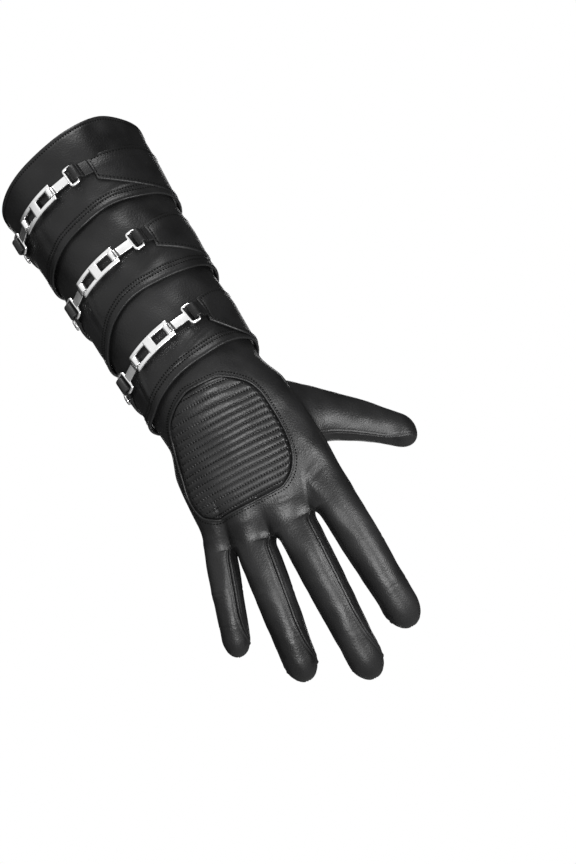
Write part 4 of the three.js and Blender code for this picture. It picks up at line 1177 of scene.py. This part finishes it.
def girth_point(s, girth):
    """A point on the hand by its angle round it: 0 at the back, 90 at the thumb's side, 180 at the palm."""
    back_point, back_normal = plain_hand(s, np.clip(girth, -math.pi / 2, math.pi / 2), 1)
    palm_point, palm_normal = plain_hand(s, np.clip(math.pi - girth, -math.pi / 2, math.pi / 2), -1)
    on_back = (girth < math.pi / 2)[..., None]
    return np.where(on_back, back_point, palm_point), np.where(on_back, back_normal, palm_normal)


def thumb_surface(share, angle):
    """From the set-in seam on the hand, eased over on to the thumb's own tube."""
    s = THUMB_SEAM["along"] + THUMB_SEAM["half_along"] * np.sin(angle)
    girth = np.radians(THUMB_SEAM["girth"] - THUMB_SEAM["half_girth"] * np.cos(angle))
    seam_point, seam_normal = girth_point(s, girth)
    tube_point, tube_normal = thumb_tube(mix(THUMB_BURIED, 1, share), angle)
    ease = np.clip(share / THUMB_EASE, 0, 1)
    weight = (1 - (1 - ease) ** 2)[..., None]
    return mix(seam_point, tube_point, weight), unit(mix(seam_normal, tube_normal, weight))


def thumb():
    """The thumb's surface with its set-in seam, its two lengthwise seams and its folds."""
    s = sizes()
    tip = mix(0.8, 1, np.sin(np.linspace(0, math.pi / 2, 44)))
    share = np.concatenate([np.linspace(0, 0.8, 110, endpoint=False), tip])[:, None]
    angle = np.linspace(0, 2 * math.pi, 180, endpoint=False)[None]
    share, angle = np.broadcast_arrays(share, angle)
    point, normal = thumb_surface(share, angle)
    from_root = share * THUMB_LENGTH * (1 - THUMB_BURIED)
    lift = seam_lip(from_root, s)
    for start, turned, ridge in THUMB_SEAMS:
        at = np.radians(start + turned * smooth((share - 0.7) / 0.3))
        away = np.abs(np.angle(np.exp(1j * (angle - at)))) * THUMB_WIDTH / 2.4
        lip = 0.7 * seam_lip(1.5 * away, s) + ridge * np.exp(-away / 4.5)
        lift = lift + lip * smooth((share - 0.1) / 0.12) * smooth((0.99 - share) / 0.04)
    lift = lift + undulation(point, 24, 0.3, 50) + undulation(point, 9, 0.08, 51)
    return Pieces().grid(point + normal * lift[..., None], wrap_columns=True)


class GLOVE_OT_thumb(bpy.types.Operator):
    """The set-in thumb"""

    bl_idname = "glove.thumb"
    bl_label = "Thumb"

    def execute(self, context):
        thumb().dress("thumb", "leather", lined_leather(), "shell_leather", wall=HAND_SHEET)
        return {"FINISHED"}


def patch_route(inset, count=420, rounding=13):
    """The patch's outline as a closed route, drawn in by some millimetres and rounded at its corners."""
    share = np.linspace(0, 1, 160)
    run = PATCH_START + mix(inset, PATCH_LENGTH - inset, share)
    left = np.stack([run, read(PATCH_OUTLINE, "ulnar", share) * HAND_BREADTH + inset], -1)
    right = np.stack([run, read(PATCH_OUTLINE, "radial", share) * HAND_BREADTH - inset], -1)[::-1]
    bottom = mix(left[-1], right[0], np.linspace(0, 1, 40)[1:-1, None])
    top = mix(right[-1], left[0], np.linspace(0, 1, 30)[1:-1, None])
    route = np.concatenate([left, bottom, right, top])
    closed = np.concatenate([route, route[:1]])
    length = run_along(closed)
    at = np.linspace(0, length[-1], count, endpoint=False)
    even = at_runs(at, length, closed)
    window = np.hanning(rounding + 2)[1:-1]
    window = window / window.sum()
    half = rounding // 2
    padded = np.concatenate([even[-half:], even, even[:half]])
    return np.stack([np.convolve(padded[:, k], window, mode="valid") for k in range(2)], -1)


def patch_surface(run, across, lift):
    return back_surface(run + math.tan(math.radians(PATCH_SLANT)) * across, across, lift)


def patch_rows(inset):
    """The patch's outline on the left and on the right, and the runs at which it begins and ends."""
    route = patch_route(inset)
    top, bottom = int(route[:, 0].argmin()), int(route[:, 0].argmax())
    order = np.arange(top, top + len(route)) % len(route)
    cut = int(np.where(order == bottom)[0][0])
    left, right = route[order[: cut + 1]], route[order[cut:]][::-1]
    return left, right, route[top, 0], route[bottom, 0]


def patch_face(run, across, lift):
    """Point and normal on the patch's gently uneven face."""
    point, normal = patch_surface(run, across, lift)
    return point + normal * undulation(point, 26, 0.3, 61)[..., None], normal


def pad_lift(edge, s):
    """How high the padding holds the patch's face, lower near its edges."""
    return PATCH_BASE + s["patch_pad"] * smooth(edge / 5 + 0.25)


def quilted_patch():
    """Ribs across the patch: each a low arch between two grooves, pulled down again at every stitch."""
    s = sizes()
    inset = s["piping"] * 0.75
    left, right, first, last = patch_rows(inset)
    ribs = round(PATCH_LENGTH / s["quilt_pitch"])
    run = mix(first + 0.02, last - 0.02, np.linspace(0, 1, ribs * 10 + 1))[:, None]
    low = np.interp(run[:, 0], left[:, 0], left[:, 1])[:, None]
    high = np.interp(run[:, 0], right[:, 0], right[:, 1])[:, None]
    share = edge_spaced(230)[None]
    half, middle = hand_width(run)
    turn_low = np.arcsin(np.clip((low - middle) / half, -1, 1))
    turn_high = np.arcsin(np.clip((high - middle) / half, -1, 1))
    across = middle + half * np.sin(mix(turn_low, turn_high, share))
    runs = np.broadcast_to(run, across.shape)
    phase = (runs - PATCH_START) / s["quilt_pitch"]
    within = phase - np.floor(phase)
    arch = np.clip(1 - np.abs(2 * within - 1) ** 2.6, 0, 1) ** 0.6
    edge = np.minimum(np.minimum(across - low, high - across), np.minimum(runs - first, last - runs))
    between = hill((across / STITCH_IN_QUILT - np.round(across / STITCH_IN_QUILT)) * STITCH_IN_QUILT, 0.4)
    groove = hill(np.minimum(within, 1 - within), 0.16)
    lift = pad_lift(edge, s) + s["quilt_rise"] * arch * smooth(edge / 2.2) + QUILT_PUFF * between * groove
    return Pieces().grid(patch_face(runs, across, lift)[0])


def patch_piping():
    """The piping: a round roll along the patch's outline."""
    s = sizes()
    radius = s["piping"] / 2
    route = patch_route(radius)
    lift = np.full(len(route), PATCH_BASE + radius * 0.7)
    point, normal = patch_surface(route[:, 0], route[:, 1], lift)
    along = unit(np.roll(point, -1, axis=0) - np.roll(point, 1, axis=0))
    across = np.cross(along, normal)
    return Pieces().grid(sweep(point, across, normal, circle(radius, 16), closed=True), True, True)


class GLOVE_OT_patch(bpy.types.Operator):
    """The padded, quilted patch on the back of the hand and the piping round it"""

    bl_idname = "glove.patch"
    bl_label = "Quilted patch"

    def execute(self, context):
        sheet = {"wall": PATCH_SHEET, "outward": PATCH_INSIDE}
        patch = quilted_patch().dress("quilted_patch", "leather", lined_leather(), "shell_leather", **sheet)
        patch_piping().dress("patch_piping", "roll", [shell_leather()], "shell_leather")
        return {"FINISHED"}


def flap(from_angle, to_angle, edges, layered):
    """A sheet on the cuff, rounded over at every edge; a layered one shows a second layer along its foot."""
    along = edge_spaced(120)[:, None]
    across = edge_spaced(46)[None]
    top, bottom = edges(along)
    z = mix(top, bottom, across)
    angle = np.broadcast_to(mix(from_angle, to_angle, along), z.shape)
    ground = band_surface(angle, z, np.full(z.shape, FLAP_CLEARANCE))[0]
    first, last = from_edges(ground)
    end, far = (part.T for part in from_edges(ground.transpose(1, 0, 2)))
    edge = np.minimum(np.minimum(first, last), np.minimum(end, far))
    rounded = np.sqrt(1 - (1 - np.clip(edge / 0.6, 0, 1)) ** 2)
    inner = np.minimum(np.minimum(first, end), far)
    if layered:
        rounded = rounded * (0.5 + 0.5 * smooth((last - 1.2) / 0.7))
    face = FLAP_THICKNESS * rounded
    face = face - 0.2 * hill(np.minimum(inner, last) - FLAP_STITCH_INSET, GROOVE_WIDTH) * (edge > 0.6)
    face = face + undulation(ground, 22, 0.12, 70) * smooth(edge / 4)
    if layered:
        face = face * mix(1, 0.25, smooth(along)) * mix(0.2, 1, smooth(first / 9))
        face = face + 0.4 * hill(last - 0.9, 0.5)
    upper = band_surface(angle, z, FLAP_CLEARANCE + face)[0]
    under = band_surface(angle, z, np.full(z.shape, FLAP_CLEARANCE - 0.05))[0]
    return upper, under


def closed_sheet(upper, under):
    """Both faces of a sheet as one closed body: the grids meet along their rims."""
    rims = [np.concatenate([v[0], v[1:, -1], v[-1, -2::-1], v[-2:0:-1, 0]]) for v in (upper, under)]
    return Pieces().grid(upper).grid(under).grid(np.stack(rims), wrap_columns=True)


def radial_edges(chain):
    def edges(at):
        widened = 1 - (1 - np.minimum(1, at * FLAP_FLARE)) ** 2
        top = -CUFF_LENGTH * mix(chain["top"], chain["side_top"], widened)
        return top, -CUFF_LENGTH * mix(chain["bottom"], chain["side_bottom"], widened)

    return edges


def ulnar_run():
    return 2 * LINK_BAR_LENGTH + FRAME_LINK_LENGTH + BRACKET_ARM + ULNAR_STRAP_RUN


def ulnar_edges(chain):
    level = -CUFF_LENGTH * chain["along"] - chain["slope"] * ulnar_run()

    def edges(at):
        widened = mix(STRAP_WIDTH / 2, STRAP_WIDTH * 0.95, smooth(at))
        return level + widened, level - widened

    return edges


def flaps_of(chain):
    """For the radial flap and the ulnar flap: its name, its angles from and to, and its edges."""
    radial = chain_path(chain, -chain["flap_run"], 0)[4][0]
    ulnar = chain_path(chain, ulnar_run() + 2 * SEAM_GAP, 0)[4][0]
    return (
        ("radial_flap", (radial, math.radians(FLAP_BACK)), radial_edges(chain)),
        ("ulnar_flap", (ulnar, ulnar - math.radians(ULNAR_FLAP_TURN)), ulnar_edges(chain)),
    )


class GLOVE_OT_flaps(bpy.types.Operator):
    """The stitched flaps that carry the chains, on the thumb's side and on the little finger's side"""

    bl_idname = "glove.flaps"
    bl_label = "Flaps"

    def execute(self, context):
        for number, chain in enumerate(CHAINS, 1):
            for kind, angles, edges in flaps_of(chain):
                sheet = closed_sheet(*flap(*angles, edges, kind == "radial_flap"))
                sheet.dress(f"{kind}_{number}", "leather", [strap_leather()], "strap_leather")
        return {"FINISHED"}


def plane_frame(origin, along, normal):
    """A flat frame: origin, way along, way up and way across."""
    level = unit(normal - along * np.dot(normal, along))
    return origin, along, level, np.cross(along, level)


def in_frame(place, points):
    """Points given as along, up and across in a flat frame."""
    origin, along, up, across = place
    return origin + points[..., :1] * along + points[..., 1:2] * up + points[..., 2:] * across


def eye_strip(length, thickness, width, hole, corner):
    """A flat strip from its far end to a pin and round the pin, a rectangle with round corners in section."""
    outer = hole + thickness / 2
    start = math.asin(min(0.95, thickness * 0.5 / outer))
    turn = np.linspace(start, 2 * math.pi - start * 1.2, 26)
    eye = np.stack([outer * np.cos(turn), outer * np.sin(turn)], -1)
    straight = np.linspace(length, outer * 1.9, 10)
    bar = np.stack([straight, np.zeros(10)], -1)
    ease = mix(bar[-1], eye[0], smooth(np.linspace(0, 1, 6))[1:-1, None])
    path = np.concatenate([bar, ease, eye])
    way = unit(np.gradient(path, axis=0))
    up = np.stack([-way[:, 1], way[:, 0]], -1)
    level = np.zeros((len(path), 1))
    side = np.tile([0.0, 0.0, 1.0], (len(path), 1))
    section = rounded_box(width, thickness, corner, 5)
    return sweep(np.hstack([path, level]), side, np.hstack([up, level]), section, bevel=0.12)


def links_of(chain):
    """Frames of a chain's four bars: the pins and the brackets' bars."""
    at = np.cumsum([0, LINK_BAR_LENGTH, FRAME_LINK_LENGTH, LINK_BAR_LENGTH])
    point, _, normal, _, _ = chain_path(chain, at, CHAIN_HEIGHT)
    first = plane_frame(point[1], unit(point[0] - point[1]), normal[1])
    last = plane_frame(point[2], unit(point[3] - point[2]), normal[2])
    return (first, np.linalg.norm(point[0] - point[1])), (last, np.linalg.norm(point[3] - point[2]))


def bracket(place, reach, s):
    """A rounded wire stirrup with its flat link bar, whose end is rolled round the frame link's pin."""
    radius = s["wire"] / 2
    half = STRAP_WIDTH / 2 + PIN_CLEARANCE + radius
    far = reach + BRACKET_ARM - s["wire"]
    route = round_route([(reach, half), (far, half), (far, -half), (reach, -half)], 1.5)
    path = np.stack([route[:, 0], np.zeros(len(route)), route[:, 1]], -1)
    way = unit(np.roll(path, -1, axis=0) - np.roll(path, 1, axis=0))
    side = np.cross(way, [0, 1, 0])
    up = np.tile([0.0, 1.0, 0.0], (len(path), 1))
    wire = sweep(path, side, up, circle(radius, 14), closed=True)
    bar = eye_strip(reach + 0.3, s["link"] * 0.8, LINK_BAR_WIDTH, s["wire"] * PIN_SHARE + 0.1, 0.35)
    return Pieces().grid(in_frame(place, wire), True, True).grid(in_frame(place, bar), False, True)


def rail(chain, low, high, across_low, across_high, s, count):
    """A bar with round edges that follows the chain's curve between two distances."""
    point, _, normal, across, _ = chain_path(chain, np.linspace(low, high, count), CHAIN_HEIGHT)
    middle = point + across * ((across_low + across_high) / 2)
    section = rounded_box(across_high - across_low, s["link"], 0.5, 5)
    return sweep(middle, across, normal, section)


def frame_link(chain, s):
    """Two curved rails with a wide bar between them, and a pin at each end."""
    half = FRAME_LINK_WIDTH / 2
    start, end = LINK_BAR_LENGTH, LINK_BAR_LENGTH + FRAME_LINK_LENGTH
    low, high = start - s["wire"], end + s["wire"]
    middle, bar_half = (start + end) / 2, CENTRE_BAR_LENGTH / 2
    pieces = Pieces()
    pieces.grid(rail(chain, low, high, -half, RAIL_WIDTH - half, s, 26), False, True)
    pieces.grid(rail(chain, low, high, half - RAIL_WIDTH, half, s, 26), False, True)
    bar = rail(chain, middle - bar_half, middle + bar_half, 0.6 - half, half - 0.6, s, 6)
    pieces.grid(bar, False, True)
    for at in (start, end):
        point, along, normal, across, _ = chain_path(chain, at, CHAIN_HEIGHT)
        inside = half - RAIL_WIDTH / 2
        path = point[0] + across[0] * np.linspace(-inside, inside, 6)[:, None]
        section = circle(s["wire"] * PIN_SHARE, 12)
        pin = sweep(path, np.tile(along[0], (6, 1)), np.tile(normal[0], (6, 1)), section)
        pieces.grid(pin, False, True)
    return pieces


def rivet(chain):
    """A low domed rivet: its profile turned about the way out of the leather."""
    ulnar = flaps_of(chain)[1][1][0]
    level = -CUFF_LENGTH * chain["along"] - chain["slope"] * ulnar_run()
    angle = np.array([ulnar - math.radians(RIVET_TURN)])
    seat = FLAP_CLEARANCE + FLAP_THICKNESS + 0.2
    point, normal = (v[0] for v in band_surface(angle, np.array([level]), np.array([seat])))
    side = unit(np.cross(normal, [0, 0, 1]))
    up = np.cross(side, normal)
    half = RIVET_WIDTH / 2
    turn = np.linspace(0, math.pi / 2, 12)
    radius = np.concatenate([[0, half * 0.98], half * np.cos(turn) ** 0.6])
    height = np.concatenate([[0, 0], 0.25 + (RIVET_HEIGHT - 0.25) * np.sin(turn)])
    spin = np.linspace(0, 2 * math.pi, 32, endpoint=False)
    ring = np.cos(spin)[:, None] * side + np.sin(spin)[:, None] * up
    dome = point + radius[:, None, None] * ring[None] + height[:, None, None] * normal
    return Pieces().grid(dome, False, True)


SIDES = ("radial", "ulnar")


class GLOVE_OT_chains(bpy.types.Operator):
    """The polished brackets, frame links and rivets of the three chains"""

    bl_idname = "glove.chains"
    bl_label = "Chains"

    def execute(self, context):
        s = sizes()
        for number, chain in enumerate(CHAINS, 1):
            for side, end in zip(SIDES, links_of(chain)):
                bracket(*end, s).dress(f"bracket_{side}_{number}", "plate", [plate()], "metal")
            frame_link(chain, s).dress(f"frame_link_{number}", "plate", [plate()], "metal")
            rivet(chain).dress(f"rivet_{number}", "dome", [plate()], "metal")
        return {"FINISHED"}


def strap_loop(place, reach, end_point, end_normal, s):
    """A leather loop round the bracket's far bar, its tail running to the flap."""
    origin, along, _, _ = place
    centre = origin + along * (reach + BRACKET_ARM - s["wire"])
    towards = end_point - centre
    length = np.linalg.norm(towards)
    hole = s["wire"] / 2 + 0.15
    loop = eye_strip(length + 0.4, STRAP_THICKNESS * 0.85, STRAP_WIDTH, hole, 0.6)
    return Pieces().grid(in_frame(plane_frame(centre, unit(towards), end_normal), loop), False, True)


class GLOVE_OT_straps(bpy.types.Operator):
    """The strap loops between the brackets and the flaps"""

    bl_idname = "glove.straps"
    bl_label = "Strap loops"

    def execute(self, context):
        s = sizes()
        lift = FLAP_CLEARANCE + STRAP_THICKNESS / 2
        for number, chain in enumerate(CHAINS, 1):
            radial, ulnar = links_of(chain)
            ends = ((radial, 2 * SEAM_GAP - chain["flap_run"]), (ulnar, ulnar_run()))
            for side, ((place, reach), distance) in zip(SIDES, ends):
                point, _, normal, _, _ = chain_path(chain, distance, lift)
                strap = strap_loop(place, reach, point[0], normal[0], s)
                strap.dress(f"{side}_strap_{number}", "leather", [strap_leather()], "strap_leather")
        return {"FINISHED"}


def hem_stitching(s):
    """Two rows of stitches over every hem and one under the rim, all round the cuff."""
    pieces = Pieces()
    angle = np.linspace(-math.pi, math.pi, 900)
    for index, (_, edge) in enumerate(BANDS):
        rows = [edge_height(edge, angle) + row for row in HEM_ROWS]
        if index == 0:
            rows.append(upper_edge(0, angle) - RIM_ROW)
        for z in rows:
            lift = band_lift(index, angle, z, s)
            point, normal = cuff_surface(angle, z, lift)
            pieces.many(stitches(point, normal, s["stitch_pitch"], s["stitch_length"], s["thread"]))
    return pieces


def patch_stitching(s):
    """Stitches along every groove of the quilting, and one row outside the piping."""
    pieces = Pieces()
    left, right, first, last = patch_rows(s["piping"] * 0.75)
    ribs = round(PATCH_LENGTH / s["quilt_pitch"])
    for row in range(1, ribs):
        run = PATCH_START + row * s["quilt_pitch"]
        if run < first + 0.8 or run > last - 0.8:
            continue
        low = np.interp(run, left[:, 0], left[:, 1]) + 1.2
        high = np.interp(run, right[:, 0], right[:, 1]) - 1.2
        numbers = np.arange(math.ceil(low / STITCH_IN_QUILT), math.floor(high / STITCH_IN_QUILT))
        centres = (numbers + 0.5) * STITCH_IN_QUILT
        if len(centres) < 2:
            continue
        across = np.linspace(centres[0] - STITCH_IN_QUILT / 2, centres[-1] + STITCH_IN_QUILT / 2, 160)
        edge = np.minimum(across - low, high - across) + 1.2
        point, normal = patch_face(np.full(len(across), run), across, pad_lift(edge, s) + 0.05)
        pieces.many(stitches(point, normal, STITCH_IN_QUILT, QUILT_STITCH_LENGTH, QUILT_THREAD))
    route = patch_route(-1.0)
    route = np.concatenate([route, route[:1]])
    point, normal = patch_surface(route[:, 0], route[:, 1], np.full(len(route), 0.02))
    pieces.many(stitches(point, normal, s["stitch_pitch"], s["stitch_length"], s["thread"]))
    return pieces


def flap_stitching():
    """A row of stitches inside the edges of every flap."""
    pieces = Pieces()
    thread = (FLAP_STITCH_PITCH, FLAP_STITCH_LENGTH, FLAP_THREAD)
    for _, angles, edges in (row for chain in CHAINS for row in flaps_of(chain)):
        upper = flap(*angles, edges, True)[0]
        rows, columns = upper.shape[:2]
        lengths = np.linalg.norm(upper[:, -1] - upper[:, 0], axis=1)
        share = FLAP_STITCH_INSET / np.maximum(lengths, 1)
        for share_at in (share, 1 - share):
            column = np.interp(share_at, edge_spaced(columns), np.arange(columns))
            point = sample(upper, np.arange(rows, dtype=float), column)
            point = point[from_edges(point[None])[0][0] > FLAP_STITCH_INSET]
            pieces.many(stitches(point, unit(point - vec(0, 0, point[:, 2])), *thread))
        first = upper[:, columns // 2]
        row = int(np.searchsorted(np.linalg.norm(first - first[0], axis=1), FLAP_STITCH_INSET))
        start, end = from_edges(upper[row][None])
        point = upper[row][(start[0] > FLAP_STITCH_INSET) & (end[0] > FLAP_STITCH_INSET)]
        pieces.many(stitches(point, unit(point - vec(0, 0, point[:, 2])), *thread))
    return pieces


def sample(grid, row, column):
    """Points of a grid between its own, by straight interpolation."""
    i = np.clip(np.floor(row).astype(int), 0, grid.shape[0] - 2)
    j = np.clip(np.floor(column).astype(int), 0, grid.shape[1] - 2)
    a, b = (row - i)[:, None], (column - j)[:, None]
    top = mix(grid[i, j], grid[i, j + 1], b)
    return mix(top, mix(grid[i + 1, j], grid[i + 1, j + 1], b), a)


class GLOVE_OT_stitching(bpy.types.Operator):
    """The visible rows of stitches on the cuff, the patch and the flaps"""

    bl_idname = "glove.stitching"
    bl_label = "Stitching"

    def execute(self, context):
        s = sizes()
        for name, pieces, slot in (
            ("hem_stitching", hem_stitching(s), "shell_leather"),
            ("patch_stitching", patch_stitching(s), "shell_leather"),
            ("flap_stitching", flap_stitching(), "strap_leather"),
        ):
            pieces.build(name, [sewing_thread()], (), slot)
        return {"FINISHED"}


# The photograph's view: where its centre line meets the glove, its angles and its distance
VIEW_TARGET = (0, -20, -152.7)
VIEW_TARGET_PIXEL = (189.78, 365.11)
VIEW_TILT = 23.5026
VIEW_TURN = -0.0966
VIEW_ROLL = -32.3994
VIEW_DISTANCE = 1599.94
VIEW_SCALE = 0.54697
IMAGE_SIZE = (576, 864)
SENSOR = 36.0
# The floor, in metres: how far it lies below the glove and half its size
FLOOR_DROP = 1.3
FLOOR_HALF = 6
# The studio's pale tent: the way to its brightest side, its light on the far and the near side, and between
# which shares of facing that way the light grows
TENT_WAY = (-0.25, -0.86, 0.44)
TENT_LIGHT = (0.045, 0.95)
TENT_REACH = (0.2, 0.92)
# Area lights: the ways right, up and ahead from their centre in metres, width, height and power in watts
LIGHT_CENTRE = (0, 0, -170)
LIGHTS = (
    ("key", 0.2, -0.25, -1.25, 0.35, 0.35, 15),
    ("over", -0.3, 1.25, -0.15, 0.5, 0.4, 8),
    ("thumb", 0.3, 0.02, -0.26, 0.12, 0.12, 1.3),
    ("behind", 0.1, -0.1, 1.4, 0.9, 0.9, 7),
)


def view_axes():
    """The camera's ways right, up and forward."""
    tilt, turn, roll = (math.radians(v) for v in (-VIEW_TILT, VIEW_TURN, VIEW_ROLL))
    forward = -np.array([math.sin(turn) * math.cos(tilt), -math.cos(turn) * math.cos(tilt), math.sin(tilt)])
    right = unit(np.cross(forward, [0, 0, 1]))
    up = np.cross(right, forward)
    return math.cos(roll) * right + math.sin(roll) * up, math.cos(roll) * up - math.sin(roll) * right, forward


def add_camera(context, right, up, forward):
    """A camera that has the glove where the photograph has it."""
    focal = VIEW_DISTANCE / VIEW_SCALE
    x, y = ((p - size / 2) / focal for p, size in zip(VIEW_TARGET_PIXEL, IMAGE_SIZE))
    place = np.array(VIEW_TARGET) - VIEW_DISTANCE * (forward + x * right - y * up)
    camera = bpy.data.cameras.new("camera")
    camera.lens = focal / max(IMAGE_SIZE) * SENSOR
    camera.sensor_width = SENSOR
    camera.clip_start, camera.clip_end = 0.05, 20
    seat = bpy.data.objects.new("camera", camera)
    turn = Matrix((right, up, -forward)).transposed().to_4x4()
    seat.matrix_world = Matrix.Translation(Vector(place) * METRES) @ turn
    context.collection.objects.link(seat)
    context.scene.camera = seat


def add_lights(context, right, up, forward):
    for name, to_right, to_up, ahead, width, height, power in LIGHTS:
        lamp = bpy.data.lights.new(name, "AREA")
        lamp.shape = "RECTANGLE"
        lamp.size, lamp.size_y, lamp.energy = width, height, power
        way = Vector(to_right * right + to_up * up + ahead * forward)
        holder = bpy.data.objects.new(name, lamp)
        holder.location = Vector(LIGHT_CENTRE) * METRES + way
        holder.rotation_euler = way.to_track_quat("Z", "Y").to_euler()
        context.collection.objects.link(holder)


def add_tent(context):
    """Light from all round, brightest on one side of a pale tent; the camera itself sees plain white."""
    world = bpy.data.worlds.new("studio")
    world.use_nodes = True
    tree = world.node_tree
    backdrop = tree.nodes["Background"].inputs
    way = add_node(tree, "TexCoord").outputs["Generated"]
    facing = add_node(tree, "VectorMath", {0: way, 1: TENT_WAY}, operation="DOT_PRODUCT").outputs["Value"]
    tent = ramp(tree, facing, *TENT_LIGHT, *TENT_REACH, interpolation_type="SMOOTHSTEP")
    seen = add_node(tree, "LightPath").outputs["Is Camera Ray"]
    strength = add_node(tree, "Mix", {"Factor": seen, "A": tent, "B": 1.0})
    tree.links.new(strength.outputs["Result"], backdrop["Strength"])
    backdrop["Color"].default_value = (1, 1, 1, 1)
    context.scene.world = world
    context.scene.view_settings.view_transform = "Standard"


def add_floor(context):
    pale, tree, shader = new_material("pale_floor", {"Roughness": 0.9})
    mottle = add_node(tree, "TexNoise", {"Scale": 2}).outputs["Fac"]
    tree.links.new(ramp(tree, mottle, 0.8, 0.84, 0, 1), shader["Base Color"])
    floor = bpy.data.meshes.new("floor")
    corners = [(x * FLOOR_HALF, y * FLOOR_HALF, -FLOOR_DROP) for x, y in ((-1, -1), (1, -1), (1, 1), (-1, 1))]
    floor.from_pydata(corners, [], [(0, 1, 2, 3)])
    floor.materials.append(pale)
    ground = bpy.data.objects.new("floor", floor)
    context.collection.objects.link(ground)


class GLOVE_OT_stage(bpy.types.Operator):
    """The camera at the photograph's angle, the soft studio lights and the pale floor"""

    bl_idname = "glove.stage"
    bl_label = "Stage"

    def execute(self, context):
        axes = view_axes()
        add_camera(context, *axes)
        add_lights(context, *axes)
        add_tent(context)
        add_floor(context)
        return {"FINISHED"}


OPERATORS = (
    GLOVE_OT_cuff,
    GLOVE_OT_hand,
    GLOVE_OT_fourchettes,
    GLOVE_OT_thumb,
    GLOVE_OT_patch,
    GLOVE_OT_flaps,
    GLOVE_OT_straps,
    GLOVE_OT_chains,
    GLOVE_OT_stitching,
    GLOVE_OT_stage,
)


class GLOVE_PT_panel(bpy.types.Panel):
    """Sizes, looks and pieces of the glove"""

    bl_label = "Glove"
    bl_idname = "GLOVE_PT_panel"
    bl_space_type = "VIEW_3D"
    bl_region_type = "UI"
    bl_category = "Glove"

    def draw(self, context):
        for group in (context.scene.glove_sizes, context.scene.glove_looks):
            for name in group.bl_rna.properties.keys():
                if name not in ("rna_type", "name"):
                    self.layout.prop(group, name)
        for operator in OPERATORS:
            self.layout.operator(operator.bl_idname)


CLASSES = (GloveSizes, GloveLooks, *OPERATORS, GLOVE_PT_panel)


def register():
    for cls in CLASSES:
        bpy.utils.register_class(cls)
    bpy.types.Scene.glove_sizes = PointerProperty(type=GloveSizes)
    bpy.types.Scene.glove_looks = PointerProperty(type=GloveLooks)


def unregister():
    del bpy.types.Scene.glove_looks
    del bpy.types.Scene.glove_sizes
    for cls in reversed(CLASSES):
        bpy.utils.unregister_class(cls)


def main():
    register()
    for operator in OPERATORS:
        group, name = operator.bl_idname.split(".")
        getattr(getattr(bpy.ops, group), name)()


if __name__ == "__main__":
    main()
